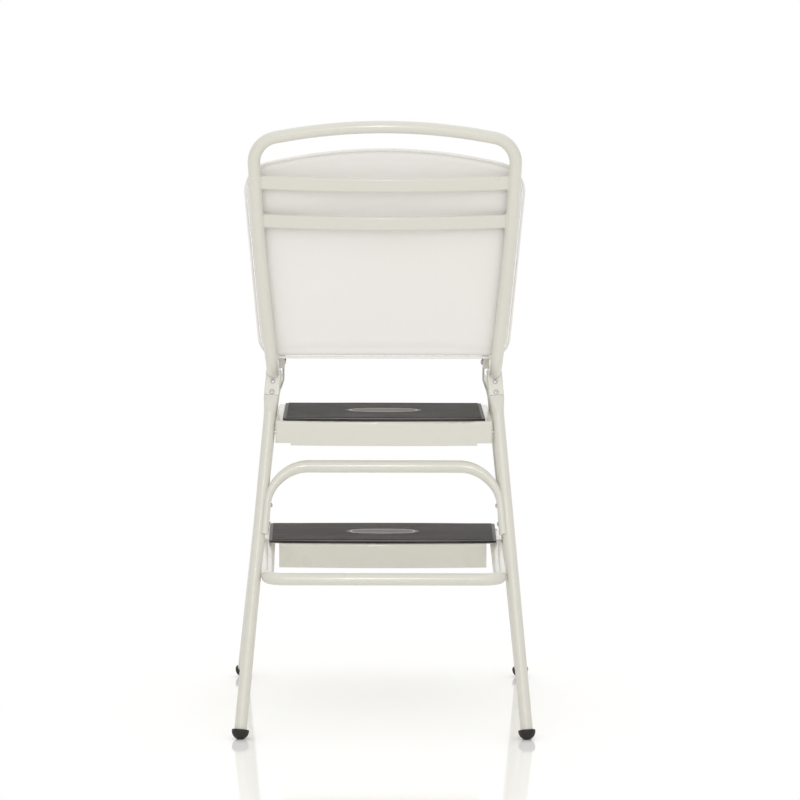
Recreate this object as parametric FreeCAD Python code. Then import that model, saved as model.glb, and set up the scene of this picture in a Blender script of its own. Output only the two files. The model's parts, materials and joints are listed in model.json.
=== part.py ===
import FreeCAD, Part
import math
import os

V = FreeCAD.Vector

# Step stool chair with a flip-up seat, in millimetres.
# Z is up, Y points to the front of the chair, X is its width. The origin is on the floor, in the
# middle of the footprint. The seat is modelled standing up against the back.

# Tube and sheet stock
TUBE_R = 9.0
TUBE_WALL = 1.2
SHEET = 1.5
STRIP = 2.5
FACE_GAP = 0.3
FIT = 0.05
CORNER_ROOM = 1.1

# Legs: where they meet the floor, and where they come up to the rails
FOOT_SPACING = 510.0
FOOT_SHIFT = -1.9
REAR_FOOT_X = 206.0
REAR_TOP_INSIDE_RAIL = 0.25
REAR_TOP_AHEAD = 30.76
FRONT_FOOT_X = 217.6
FRONT_TOP_INSIDE_RAIL = 1.2
FRONT_TOP_Y = 37.0
FOOT_R = 12.4
FOOT_BALL_Z = 11.6
FOOT_COLLAR = 2.0
FOOT_LIP = 0.8
FOOT_FLOOR = 7.0

# Back hoop and the side rails that it bends into
HOOP_HEIGHT = 882.0
HOOP_ARCH_R = 800.0
HOOP_CORNER_R = 37.0
HOOP_CORNER_X = 188.0
HOOP_WAIST_X = 178.6
HOOP_WAIST_ABOVE_RAIL = 172.0
HOOP_WAIST_BLEND = 0.65
BACK_LEAN = math.radians(9.4)
RAIL_X = 160.2
RAIL_Z = 514.5
RAIL_BEND_R = 36.0
RAIL_REAR_Y = -150.8
RAIL_FRONT_Y = 148.2

# Back slats
SLAT_HEIGHT = 20.0
SLAT_THICK = 6.5
SLAT_BOW = 20.0
UPPER_SLAT_DROP = 88.3
SLAT_PITCH = 55.0

# Squashed tube ends
SQUASH_THICK = 9.8
FLAT_THICK = 3.0
SQUASH_LENGTH = 40.0
SQUASH_TAPER = 22.0
FRONT_FLAT_LENGTH = 34.0
FRONT_TAPER = 30.0
TAB_WIDTH = 20.0
TAB_LENGTH = 34.0

# Rivets and screws
RIVET_R = 2.4
RIVET_HEAD_R = 4.5
RIVET_HEAD = 2.2
SIDE_HEAD_R = 3.4
BLIND_TAIL_R = 3.2
BLIND_TAIL = 4.5
SUNK_HEAD_R = 4.2
SUNK_HEAD = 1.3
LEG_RIVET_DROP = 14.0
LEG_RIVET_PITCH = 15.0
RAIL_RIVET_PITCH = 16.0
SCREW_R = 1.9
SCREW_HEAD_R = 4.0

# Inverted U brace between the rear legs
BRACE_Z = 381.0
BRACE_CORNER_R = 60.0
BRACE_END_Z = 285.5
BRACE_THICK = 10.0
BRACE_BITE = 5.5
BRACE_RIVET_ABOVE_END = 14.5
BRACE_RIVET_PITCH = 26.0

# U stretcher and the two steps
STRETCHER_Z = 226.5
STRETCHER_CORNER_R = 24.0
STRETCHER_SET_BACK = 27.0
STRETCHER_FRONT_Y = 242.2
BEND_R = 4.0
STEP_BOW = 8.0
UPPER_STEP_TOP = 446.5
UPPER_STEP_REAR = -157.5
UPPER_STEP_FRONT = 86.2
UPPER_APRON = 35.7
APRON_NOTCH = 22.0
APRON_NOTCH_RISE = 3.4
UPPER_RIVET_Z = 430.0
LOWER_STEP_REAR = 59.2
LOWER_STEP_FRONT = 266.2
LOWER_STEP_OVER = 1.0
LOWER_APRON_HALF = 156.5
LOWER_APRON = 37.4
LOWER_RIVET_INSET = 48.0
MAT_THICK = 3.4
MAT_RIB = 1.2
MAT_RIB_PITCH = 7.0
MAT_RIB_END = 5.0
MAT_INSET = 2.0
MAT_CORNER_R = 3.0
MAT_OVAL_LENGTH = 112.0
MAT_OVAL_DEPTH = 56.0
UPPER_MAT_HALF = 146.5
UPPER_MAT_FRONT_INSET = 16.0

# Seat, measured lying down from its hinge axis
HINGE_ABOVE_RAIL = 18.5
SEAT_BEHIND = 9.7
SEAT_BELOW_HOOP = 40.0
SEAT_REAR_HALF = 180.0
SEAT_FRONT_HALF = 204.5
SEAT_FRONT_BOW_R = 710.0
SEAT_REAR_CORNER_R = 32.0
SEAT_FRONT_CORNER_R = 45.0
SEAT_LEAST_CORNER_R = 8.0
BOARD_BELOW_AXIS = 3.0
BOARD_THICK = 9.0
BOARD_INSET = 15.0
CUSHION_TUCK = 12.0
CUSHION_SIDE = 39.0
CUSHION_EDGE = 45.5
CUSHION_ROUND = 11.0
CUSHION_CROWN = 6.0
CUSHION_FLAT_HALF = 20.0
WELT_R = 1.8

# Hinge
PIN_R = 3.0
PIN_HEAD_R = 4.6
ARM_THICK = 3.0
ARM_OUTER_X = 150.2
ARM_LENGTH = 95.0
ARM_DEPTH = 14.0
ARM_EYE_R = 7.0
ARM_LEAF = 24.0
ARM_FULL_DEPTH_Y = 30.0
ARM_TIP_TAPER = 10.0
BRACKET_REACH = 11.0
BRACKET_TOP = 8.0
BRACKET_FLOOR_ABOVE_RAIL = 4.5
BUMPER_R = 6.5
BUMPER_FIRST = 52.0
BUMPER_PITCH = 138.0
PLUG_HEAD = 4.0
PLUG_SHANK = 14.0

REAR_FOOT_Y = FOOT_SHIFT - FOOT_SPACING / 2
FRONT_FOOT_Y = FOOT_SHIFT + FOOT_SPACING / 2
REAR_LEAN_IN = (REAR_FOOT_X - RAIL_X + REAR_TOP_INSIDE_RAIL) / RAIL_Z
REAR_LEAN_Y = (RAIL_REAR_Y + REAR_TOP_AHEAD - REAR_FOOT_Y) / RAIL_Z
FRONT_LEAN_IN = (FRONT_FOOT_X - RAIL_X + FRONT_TOP_INSIDE_RAIL) / RAIL_Z
FRONT_LEAN_Y = (FRONT_FOOT_Y - FRONT_TOP_Y) / RAIL_Z
HINGE_Z = RAIL_Z + HINGE_ABOVE_RAIL
BRACKET_FLOOR_Z = RAIL_Z + BRACKET_FLOOR_ABOVE_RAIL
HINGE_Y = (RAIL_REAR_Y - math.tan(BACK_LEAN) * (HINGE_Z - RAIL_Z)
           + (CUSHION_EDGE + TUBE_R + FACE_GAP) / math.cos(BACK_LEAN))
SEAT_DEPTH = ((HOOP_HEIGHT - SEAT_BELOW_HOOP - HINGE_Z + math.sin(BACK_LEAN) * CUSHION_SIDE)
              / math.cos(BACK_LEAN) - SEAT_BEHIND)
HOOP_ARCH_SLOPE = math.asin((HOOP_CORNER_X - CORNER_ROOM * HOOP_CORNER_R) / HOOP_ARCH_R)
BORE_R = TUBE_R - TUBE_WALL
BRACE_RIVET_Z = [BRACE_END_Z + BRACE_RIVET_ABOVE_END + BRACE_RIVET_PITCH * step for step in (0, 1)]
SEAT_SWING = 90.0 + math.degrees(BACK_LEAN)
MAT_TOTAL = MAT_THICK + MAT_RIB


# Places on the frame

def rear_leg_point(side, z):
    return V(side * (REAR_FOOT_X - REAR_LEAN_IN * z), REAR_FOOT_Y + REAR_LEAN_Y * z, z)


def front_leg_point(side, z):
    return V(side * (FRONT_FOOT_X - FRONT_LEAN_IN * z), FRONT_FOOT_Y - FRONT_LEAN_Y * z, z)


def back_point(x, z):
    return V(x, RAIL_REAR_Y - math.tan(BACK_LEAN) * (z - RAIL_Z), z)


def hoop_side_x(z):
    """Centre of the hoop's side at a height, along its two long runs."""
    waist_z = RAIL_Z + HOOP_WAIST_ABOVE_RAIL
    if z < waist_z:
        return RAIL_X + (HOOP_WAIST_X - RAIL_X) * (z - RAIL_Z) / HOOP_WAIST_ABOVE_RAIL
    corner_z = hoop_corner_z()
    return HOOP_WAIST_X + (HOOP_CORNER_X - HOOP_WAIST_X) * (z - waist_z) / (corner_z - waist_z)


def hoop_apex_z():
    """Where the two tangents of the arched top bar meet, above its crown."""
    rise = HOOP_ARCH_R * (1 / math.cos(HOOP_ARCH_SLOPE) - 1) * math.cos(BACK_LEAN)
    return HOOP_HEIGHT - TUBE_R + rise


def hoop_corner_z():
    drop = HOOP_CORNER_X * math.tan(HOOP_ARCH_SLOPE) * math.cos(BACK_LEAN)
    return hoop_apex_z() - drop


# Tools for bent and squashed tube

def unit(vector):
    return V(vector).normalize()


def bent_edges(points, radii):
    """Straight runs through the points, with a tangent arc at each inner point."""
    edges = []
    start = points[0]
    for before, corner, after, radius in zip(points, points[1:], points[2:], radii):
        back = unit(before - corner)
        ahead = unit(after - corner)
        half_turn = (math.pi - back.getAngle(ahead)) / 2
        first = corner + back * (radius * math.tan(half_turn))
        last = corner + ahead * (radius * math.tan(half_turn))
        bisector = unit(back + ahead)
        middle = corner + bisector * (radius / math.cos(half_turn) - radius)
        if first.distanceToPoint(start) > FIT:
            edges.append(Part.LineSegment(start, first).toShape())
        edges.append(Part.Arc(first, middle, last).toShape())
        start = last
    if points[-1].distanceToPoint(start) > FIT:
        edges.append(Part.LineSegment(start, points[-1]).toShape())
    return edges


def swept(points, radii, tube_r):
    """A round bar along a bent path."""
    path = Part.Wire(bent_edges(points, radii))
    ring = Part.Wire(Part.makeCircle(tube_r, points[0], points[1] - points[0]))
    return path.makePipeShell([ring], True, False)


def bent_tube(points, radii):
    return swept(points, radii, TUBE_R).cut(swept(points, radii, TUBE_R - TUBE_WALL))


def squashed_width(thick):
    """Width of the tube's own outline when it is pressed to this thickness."""
    return thick + math.pi * (2 * TUBE_R - thick) / 2


def tube_section(centre, along, across, thick, final_thick, grow=0.0):
    """Outline of the tube pressed to a thickness, in four edges that match at every stage."""
    flat_half = (squashed_width(thick) - thick) / 2
    end_r = thick / 2 + grow
    sweep = math.pi * (2 * TUBE_R - final_thick) / (4 * TUBE_R)
    if thick >= 2 * TUBE_R:
        lengthwise, crosswise = end_r * math.sin(sweep), end_r * math.cos(sweep)
    else:
        lengthwise, crosswise = flat_half, end_r
    a = centre - along * lengthwise - across * crosswise
    b = centre + along * lengthwise - across * crosswise
    c = centre + along * lengthwise + across * crosswise
    d = centre - along * lengthwise + across * crosswise
    near, far = centre - across * end_r, centre + across * end_r
    right, left = centre + along * (flat_half + end_r), centre - along * (flat_half + end_r)
    if thick >= 2 * TUBE_R:
        lower, upper = Part.Arc(a, near, b), Part.Arc(c, far, d)
    else:
        lower, upper = Part.LineSegment(a, b), Part.LineSegment(c, d)
    parts = [lower, Part.Arc(b, right, c), upper, Part.Arc(d, left, a)]
    return Part.Wire([part.toShape() for part in parts])


def prism(wire, vector):
    return Part.Face(wire).extrude(vector)


def rod(start, end, radius):
    return Part.makeCylinder(radius, start.distanceToPoint(end), start, end - start)


def box(x0, x1, y0, y1, z0, z1):
    return Part.makeBox(x1 - x0, y1 - y0, z1 - z0, V(x0, y0, z0))


def turned(profile, base, axis):
    """Solid turned about an axis from (distance along it, radius) points."""
    along = unit(axis)
    out = unit(along.cross(V(0, 0, 1) if abs(along.z) < 0.9 else V(1, 0, 0)))
    corners = [base + along * s + out * r for s, r in profile]
    face = Part.Face(Part.makePolygon(corners + corners[:1]))
    return face.revolve(base, along, 360)


def fused(shapes):
    return shapes[0].fuse(shapes[1:]).removeSplitter()


def solids(shapes):
    return Part.makeCompound([solid for shape in shapes for solid in shape.Solids])


def rivet(base, axis, grip, head_r, shank_r=RIVET_R):
    """Rivet with a domed head at its base and a smaller closing head past the grip."""
    head = RIVET_HEAD
    profile = [(-head, 0), (-head, head_r * 0.45), (-head * 0.6, head_r * 0.85), (0, head_r),
               (0, shank_r), (grip, shank_r), (grip, head_r * 0.8), (grip + head * 0.6, head_r * 0.6),
               (grip + head * 0.8, 0)]
    return turned(profile, base, axis)


def blind_rivet(base, axis, grip, head=RIVET_HEAD, head_r=SIDE_HEAD_R):
    """Rivet with its head at the base and a swelled tail inside a tube, past the wall it closes on."""
    tail = grip + BORE_R - math.sqrt(BORE_R ** 2 - BLIND_TAIL_R ** 2) + 2 * FACE_GAP
    profile = [(-head, 0), (-head, head_r * 0.45), (-head * 0.6, head_r * 0.85), (0, head_r),
               (0, RIVET_R), (tail, RIVET_R), (tail, BLIND_TAIL_R), (tail + BLIND_TAIL, BLIND_TAIL_R * 0.8),
               (tail + BLIND_TAIL, 0)]
    return turned(profile, base, axis)


def side_rivet(side, inner_x, wall_x, y, z):
    """Blind rivet along X, from a face to the inside of the wall at these distances from the middle."""
    return blind_rivet(V(side * (inner_x - FACE_GAP), y, z), V(side, 0, 0), wall_x - inner_x + FACE_GAP)


def inner_hole(point):
    """Rivet hole along X through the half of a tube that faces the middle."""
    return rod(point - V(math.copysign(2 * TUBE_R, point.x), 0, 0), point, RIVET_R + FIT)


# Back: hoop with side rails, and two slats

def hoop_points():
    waist_z = RAIL_Z + HOOP_WAIST_ABOVE_RAIL
    right = [V(RAIL_X, RAIL_FRONT_Y, RAIL_Z), V(RAIL_X, RAIL_REAR_Y, RAIL_Z),
             back_point(HOOP_WAIST_X, waist_z), back_point(HOOP_CORNER_X, hoop_corner_z())]
    left = [V(-p.x, p.y, p.z) for p in reversed(right)]
    return right + [back_point(0, hoop_apex_z())] + left


def half_turn_at(before, corner, after):
    return (math.pi - (before - corner).getAngle(after - corner)) / 2


def hoop_waist_r():
    """Radius of the slight bend at the waist, from the straight runs above and below it."""
    points = hoop_points()[:5]
    low_cut = RAIL_BEND_R * math.tan(half_turn_at(*points[:3]))
    high_cut = HOOP_CORNER_R * math.tan(half_turn_at(*points[2:]))
    free = min((points[2] - points[1]).Length - low_cut, (points[3] - points[2]).Length - high_cut)
    return HOOP_WAIST_BLEND * free / math.tan(half_turn_at(*points[1:4]))


def hoop_radii():
    up = [RAIL_BEND_R, hoop_waist_r(), HOOP_CORNER_R]
    return up + [HOOP_ARCH_R] + up[::-1]


def hoop_bar(tube_r):
    return swept(hoop_points(), hoop_radii(), tube_r)


def obround(centre, along, across, length, thick):
    half, r = length / 2 - thick / 2, thick / 2
    a, b = centre - along * half - across * r, centre + along * half - across * r
    c, d = centre + along * half + across * r, centre - along * half + across * r
    right, left = centre + along * (half + r), centre - along * (half + r)
    parts = [Part.LineSegment(a, b), Part.Arc(b, right, c), Part.LineSegment(c, d), Part.Arc(d, left, a)]
    return Part.Wire([part.toShape() for part in parts])


def back_slat(z, hoop_solid):
    """Flattened tube bowed to the rear, coped to the sides of the hoop."""
    rearward = V(0, -math.cos(BACK_LEAN), -math.sin(BACK_LEAN))
    upward = V(0, -math.sin(BACK_LEAN), math.cos(BACK_LEAN))
    end_x = hoop_side_x(z)
    left, right = back_point(-end_x, z), back_point(end_x, z)
    middle = back_point(0, z) + rearward * SLAT_BOW
    path = Part.Wire(Part.Arc(left, middle, right).toShape())
    radius = (end_x ** 2 + SLAT_BOW ** 2) / (2 * SLAT_BOW)
    start_dir = unit(V(1, 0, 0) * (radius - SLAT_BOW) + rearward * end_x)
    across = unit(start_dir.cross(upward))
    outer = obround(left, upward, across, SLAT_HEIGHT, SLAT_THICK)
    inner = obround(left, upward, across, SLAT_HEIGHT - 2 * TUBE_WALL, SLAT_THICK - 2 * TUBE_WALL)
    slat = path.makePipeShell([outer], True, False).cut(path.makePipeShell([inner], True, False))
    trimmed = slat.cut(hoop_solid)
    return max(trimmed.Solids, key=lambda solid: solid.Volume)


# Legs

def leg_frame(side, point_at):
    """Direction up the leg, the width direction and the rear-facing normal of its flat."""
    up = unit(point_at(side, 1.0) - point_at(side, 0.0))
    wide = unit(V(1, 0, 0) - up * up.x)
    rearward = unit(wide.cross(up)) * -1
    return up, wide, rearward


def squashed_leg(start, first, wide, normal, flat_start, flat_end, flat_wide, flat_normal, thick):
    """Round tube from start to first, then pressed to a flat that has its own place and lie."""
    middle = (first + flat_start) * 0.5
    stages = [tube_section(first, wide, normal, 2 * TUBE_R, thick),
              tube_section(middle, wide, normal, TUBE_R + thick / 2, thick),
              tube_section(flat_start, flat_wide, flat_normal, thick, thick)]
    solid = fused([prism(tube_section(start, wide, normal, 2 * TUBE_R, thick), first - start),
                   Part.makeLoft(stages, True, True),
                   prism(tube_section(flat_start, flat_wide, flat_normal, thick, thick),
                         flat_end - flat_start)])
    return solid, rod(start, first, TUBE_R - TUBE_WALL)


def leg_rivet_points(side):
    return [rear_leg_point(side, RAIL_Z - LEG_RIVET_DROP - LEG_RIVET_PITCH * step) for step in (0, 1)]


def rear_leg(side):
    """Tube leg, top pressed to an oval and coped under the rail bend, bitten by the brace end."""
    up, wide, rearward = leg_frame(side, rear_leg_point)
    start = rear_leg_point(side, FOOT_FLOOR)
    top = rear_leg_point(side, RAIL_Z + TUBE_R * 0.3)
    flat_start = top - up * SQUASH_LENGTH
    solid, bore = squashed_leg(start, flat_start - up * SQUASH_TAPER, wide, rearward,
                               flat_start, top, wide, rearward, SQUASH_THICK)
    solid = solid.cut(hoop_bar(TUBE_R + FACE_GAP))
    solid = max(solid.Solids, key=lambda piece: piece.Volume)
    solid = solid.cut(brace_solid(FIT)).cut(bore.cut(brace_solid(TUBE_WALL)))
    holes = [rod(p - rearward * 2 * TUBE_R, p + rearward * 2 * TUBE_R, RIVET_R + FIT)
             for p in leg_rivet_points(side)]
    holes += [inner_hole(rear_leg_point(side, z)) for z in BRACE_RIVET_Z + [STRETCHER_Z, UPPER_RIVET_Z]]
    return solid.cut(holes)


def front_leg(side):
    """Tube leg whose top is pressed fully flat and stands upright against the rail."""
    up = leg_frame(side, front_leg_point)[0]
    wide = unit(V(0, 1, 0) - up * up.y)
    upright = unit(V(0, up.y, up.z))
    flat_end = front_leg_point(side, RAIL_Z + TUBE_R)
    flat_end.x = side * (RAIL_X - TUBE_R - FACE_GAP - FLAT_THICK / 2)
    flat_start = flat_end - upright * FRONT_FLAT_LENGTH
    start = front_leg_point(side, FOOT_FLOOR)
    first = front_leg_point(side, flat_start.z - FRONT_TAPER)
    solid, bore = squashed_leg(start, first, wide, unit(up.cross(wide)), flat_start, flat_end,
                               V(0, upright.z, -upright.y), V(-1, 0, 0), FLAT_THICK)
    solid = solid.cut(bore)
    holes = [inner_hole(point) for point in front_rivet_points(side)]
    holes += [inner_hole(front_leg_point(side, z)) for z in (STRETCHER_Z, UPPER_RIVET_Z)]
    return max(solid.cut(holes).Solids, key=lambda piece: piece.Volume)


def front_rivet_points(side):
    middle = front_leg_point(side, RAIL_Z)
    return [V(side * RAIL_X, middle.y + RAIL_RIVET_PITCH * step, RAIL_Z) for step in (-0.5, 0.5)]


def foot(side, point_at):
    """Rubber ball tip pushed on the leg's end: a collar, a round bowl and a flat where it stands."""
    up = leg_frame(side, point_at)[0]
    out = unit(up.cross(V(1, 0, 0)))
    base = point_at(side, 0.0)
    centre = (point_at(side, FOOT_BALL_Z) - base).Length
    seat = (point_at(side, FOOT_FLOOR) - base).Length
    rim = centre + FOOT_COLLAR
    socket_r = TUBE_R + FIT

    def place(along, radius):
        return base + up * along + out * radius

    diagonal = FOOT_R * math.sqrt(0.5)
    bowl = Part.Arc(place(centre - FOOT_R, 0), place(centre - diagonal, diagonal), place(centre, FOOT_R))
    corners = [place(centre, FOOT_R), place(rim - FOOT_LIP, FOOT_R), place(rim, FOOT_R - FOOT_LIP),
               place(rim, socket_r), place(seat, socket_r), place(seat, 0), place(centre - FOOT_R, 0)]
    outline = Part.Wire([bowl.toShape()] + Part.makePolygon(corners).Edges)
    tip = Part.Face(outline).revolve(base, up, 360)
    reach = 2 * FOOT_R
    return tip.cut(box(base.x - reach, base.x + reach, base.y - reach, base.y + reach, -reach, 0))


def leg_tab(side):
    """Plate under the rail bend, in front of the leg's pressed top."""
    up, wide, rearward = leg_frame(side, rear_leg_point)
    reach = SQUASH_THICK / 2 + FIT
    top = rear_leg_point(side, RAIL_Z)
    low = top - up * TAB_LENGTH - rearward * reach
    corners = [low - wide * TAB_WIDTH / 2, low + wide * TAB_WIDTH / 2]
    corners += [corners[1] + up * TAB_LENGTH, corners[0] + up * TAB_LENGTH]
    plate = prism(Part.makePolygon(corners + corners[:1]), rearward * -STRIP)
    plate = plate.cut(hoop_bar(TUBE_R))
    plate = max(plate.Solids, key=lambda piece: piece.Volume)
    holes = [rod(p, p - rearward * 2 * TUBE_R, RIVET_R + FIT) for p in leg_rivet_points(side)]
    return plate.cut(holes)


# Inverted U brace

def brace_end_x(side, z):
    return rear_leg_point(side, z).x - side * (TUBE_R - BRACE_BITE + BRACE_THICK / 2)


def brace_points():
    """Right end, right corner, left corner and left end of the brace's centre line."""
    places = []
    for side, z in ((1, BRACE_END_Z), (1, BRACE_Z), (-1, BRACE_Z), (-1, BRACE_END_Z)):
        places.append(V(brace_end_x(side, z), rear_leg_point(side, z).y, z))
    return places


def brace_end(side, grow):
    """One end: pressed flat along the leg, then rounding out to full tube round the corner."""
    low, corner = [p for p in brace_points() if p.x * side > 0][::side]
    up = unit(corner - low)
    bar = V(-side, 0, 0)
    normal = unit(up.cross(bar))
    half_turn = (math.pi - (up * -1).getAngle(bar)) / 2
    cut = BRACE_CORNER_R * math.tan(half_turn)
    centre = corner - up * cut + unit(bar - up * bar.dot(up)) * BRACE_CORNER_R
    arm = corner - up * cut - centre
    stages = []
    for share in (0, 0.25, 0.5, 0.75, 1):
        thick = BRACE_THICK + (2 * TUBE_R - BRACE_THICK) * share ** 2 * (3 - 2 * share)
        turn = 2 * half_turn * share
        outward = unit(arm * math.cos(turn) + up * (arm.Length * math.sin(turn)))
        place = centre + outward * BRACE_CORNER_R
        stages.append(tube_section(place, normal, outward, thick, BRACE_THICK, grow))
    flat = prism(tube_section(low - up * grow, normal, unit(arm), BRACE_THICK, BRACE_THICK, grow),
                 corner - up * cut - low + up * grow)
    return [flat, Part.makeLoft(stages, True, False)], corner + bar * cut


def brace_solid(grow=0.0):
    right, bar_right = brace_end(1, grow)
    left, bar_left = brace_end(-1, grow)
    return fused([rod(bar_left, bar_right, TUBE_R + grow)] + right + left)


def rear_brace():
    bore = [rod(brace_end(-1, 0)[1], brace_end(1, 0)[1], TUBE_R - TUBE_WALL)]
    holes = [inner_hole(rear_leg_point(side, z)) for side in (-1, 1) for z in BRACE_RIVET_Z]
    return brace_solid().cut(bore + holes)


# U stretcher

def stretcher_points():
    """Right arm's front end, right corner, left corner, left arm's front end."""
    rear_y = rear_leg_point(1, STRETCHER_Z).y
    rear_x = beside_leg_x(rear_leg_point, REAR_LEAN_IN)
    front = front_leg_point(1, STRETCHER_Z)
    front_x = beside_leg_x(front_leg_point, FRONT_LEAN_IN)
    bar_y = rear_y - STRETCHER_SET_BACK
    slope = (front_x - rear_x) / (front.y - rear_y)
    right = [V(front_x + slope * (STRETCHER_FRONT_Y - front.y), STRETCHER_FRONT_Y, STRETCHER_Z),
             V(rear_x + slope * (bar_y - rear_y), bar_y, STRETCHER_Z)]
    return right + [V(-p.x, p.y, p.z) for p in reversed(right)]


def beside_leg_x(point_at, lean_in):
    """Centre of a level tube that lies just inside a leg."""
    apart = (2 * TUBE_R + FACE_GAP) * math.sqrt(1 + lean_in ** 2)
    return point_at(1, STRETCHER_Z).x - apart


def step_stretcher():
    tube = bent_tube(stretcher_points(), [STRETCHER_CORNER_R, STRETCHER_CORNER_R])
    holes = []
    for side in (-1, 1):
        for point in (rear_leg_point(side, STRETCHER_Z), front_leg_point(side, STRETCHER_Z)):
            holes.append(rod(point, point - V(side * 4 * TUBE_R, 0, 0), RIVET_R + FIT))
    for point in lower_rivet_points():
        holes.append(rod(point, point - V(0, 0, 2 * TUBE_R), RIVET_R + FIT))
    return tube.cut(holes)


def arm_x(y):
    front, rear = stretcher_points()[:2]
    return rear.x + (front.x - rear.x) * (y - rear.y) / (front.y - rear.y)


# Steps

def step_outline(rear_half, front_half, y0, y1, z):
    """Plan of a step: straight ends, and long edges that bow outward to y0 and y1 in the middle."""
    a, b = V(-rear_half, y0 + STEP_BOW, z), V(rear_half, y0 + STEP_BOW, z)
    c, d = V(front_half, y1 - STEP_BOW, z), V(-front_half, y1 - STEP_BOW, z)
    parts = [Part.Arc(a, V(0, y0, z), b), Part.LineSegment(b, c),
             Part.Arc(c, V(0, y1, z), d), Part.LineSegment(d, a)]
    return Part.Wire([part.toShape() for part in parts])


def rounded_top(block, z_top, along_x, radius):
    """Rounds the block's two long top edges."""
    picked = []
    for edge in block.Edges:
        ends = [vertex.Point for vertex in edge.Vertexes]
        run = ends[1] - ends[0]
        level = all(abs(point.z - z_top) < FIT for point in ends)
        if level and (abs(run.x) > abs(run.y)) == along_x:
            picked.append(edge)
    return block.makeFillet(radius, picked)


def folded_aprons(half, y0, y1, z_top, depth):
    """Top sheet with its bowed front and rear edges folded down, open at its two ends."""
    past = half + BEND_R
    bottom = z_top - depth
    outer = prism(step_outline(half, half, y0, y1, bottom), V(0, 0, depth))
    inner = prism(step_outline(past, past, y0 + SHEET, y1 - SHEET, bottom - SHEET), V(0, 0, depth))
    return rounded_top(outer, z_top, True, BEND_R).cut(
        rounded_top(inner, z_top - SHEET, True, BEND_R - SHEET))


def folded_sides(half, y0, y1, z_top, depth):
    """Top sheet with its two ends folded down, open at front and rear."""
    bottom = z_top - depth
    outer = box(-half, half, y0, y1, bottom, z_top)
    inner = box(-half + SHEET, half - SHEET, y0 - SHEET, y1 + SHEET, bottom - SHEET, z_top - SHEET)
    return rounded_top(outer, z_top, False, BEND_R).cut(
        rounded_top(inner, z_top - SHEET, False, BEND_R - SHEET))


def upper_step_half():
    """The step's flanges lie just inside the rear legs where its top begins to round."""
    slant = math.sqrt(1 + REAR_LEAN_IN ** 2)
    return rear_leg_point(1, UPPER_STEP_TOP - BEND_R).x - TUBE_R * slant - FACE_GAP


def upper_step_pan():
    """Pan between the legs: side flanges riveted to them, and aprons notched at their ends."""
    half = upper_step_half()
    flange_y = STEP_BOW + SHEET + FACE_GAP
    depth = UPPER_APRON - APRON_NOTCH_RISE
    pan = fused([folded_aprons(half - SHEET, UPPER_STEP_REAR, UPPER_STEP_FRONT, UPPER_STEP_TOP, UPPER_APRON),
                 folded_sides(half, UPPER_STEP_REAR + flange_y, UPPER_STEP_FRONT - flange_y,
                              UPPER_STEP_TOP, depth)])
    low = UPPER_STEP_TOP - UPPER_APRON
    cuts = [inner_hole(point) for point in upper_rivet_points()]
    for side in (-1, 1):
        ends = sorted((side * (half - APRON_NOTCH), side * (half + SHEET)))
        cuts.append(box(ends[0], ends[1], UPPER_STEP_REAR - SHEET, UPPER_STEP_FRONT + SHEET,
                        low - SHEET, low + APRON_NOTCH_RISE))
    return pan.cut(cuts)


def upper_rivet_points():
    return [point_at(side, UPPER_RIVET_Z) for side in (-1, 1)
            for point_at in (rear_leg_point, front_leg_point)]


def lower_step_top():
    return STRETCHER_Z + TUBE_R + FACE_GAP / 3 + SHEET


def lower_rivet_points():
    """On the arms' centre lines, at the top of the lower step's sheet."""
    return [V(side * arm_x(y), y, lower_step_top()) for side in (-1, 1)
            for y in (LOWER_STEP_REAR + LOWER_RIVET_INSET, LOWER_STEP_FRONT - LOWER_RIVET_INSET)]


def sunk_rivet(point):
    """Blind rivet, its flat head sunk flush in the sheet, its tail inside the arm."""
    return fused([blind_rivet(point, V(0, 0, -1), point.z - STRETCHER_Z - BORE_R, 0, RIVET_R),
                  Part.makeCone(RIVET_R, SUNK_HEAD_R, SUNK_HEAD, point - V(0, 0, SUNK_HEAD))])


def lower_step_pan():
    """Pan on the stretcher's arms: its ends lie on them, and its aprons hang between them."""
    top = lower_step_top()
    y0, y1 = LOWER_STEP_REAR, LOWER_STEP_FRONT
    ends_y = BEND_R + STEP_BOW
    plate = [V(side * (arm_x(y) + LOWER_STEP_OVER), y, top)
             for side, y in ((-1, y0 + ends_y), (1, y0 + ends_y), (1, y1 - ends_y), (-1, y1 - ends_y))]
    pan = fused([folded_aprons(LOWER_APRON_HALF, y0, y1, top, LOWER_APRON),
                 prism(Part.makePolygon(plate + plate[:1]), V(0, 0, -SHEET))])
    holes = []
    for point in lower_rivet_points():
        holes.append(rod(point, point - V(0, 0, 2 * SHEET), RIVET_R + FIT))
        holes.append(Part.makeCone(RIVET_R + FIT, SUNK_HEAD_R + FIT, SUNK_HEAD + FIT,
                                   point - V(0, 0, SUNK_HEAD + FIT)))
    return pan.cut(holes)


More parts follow.
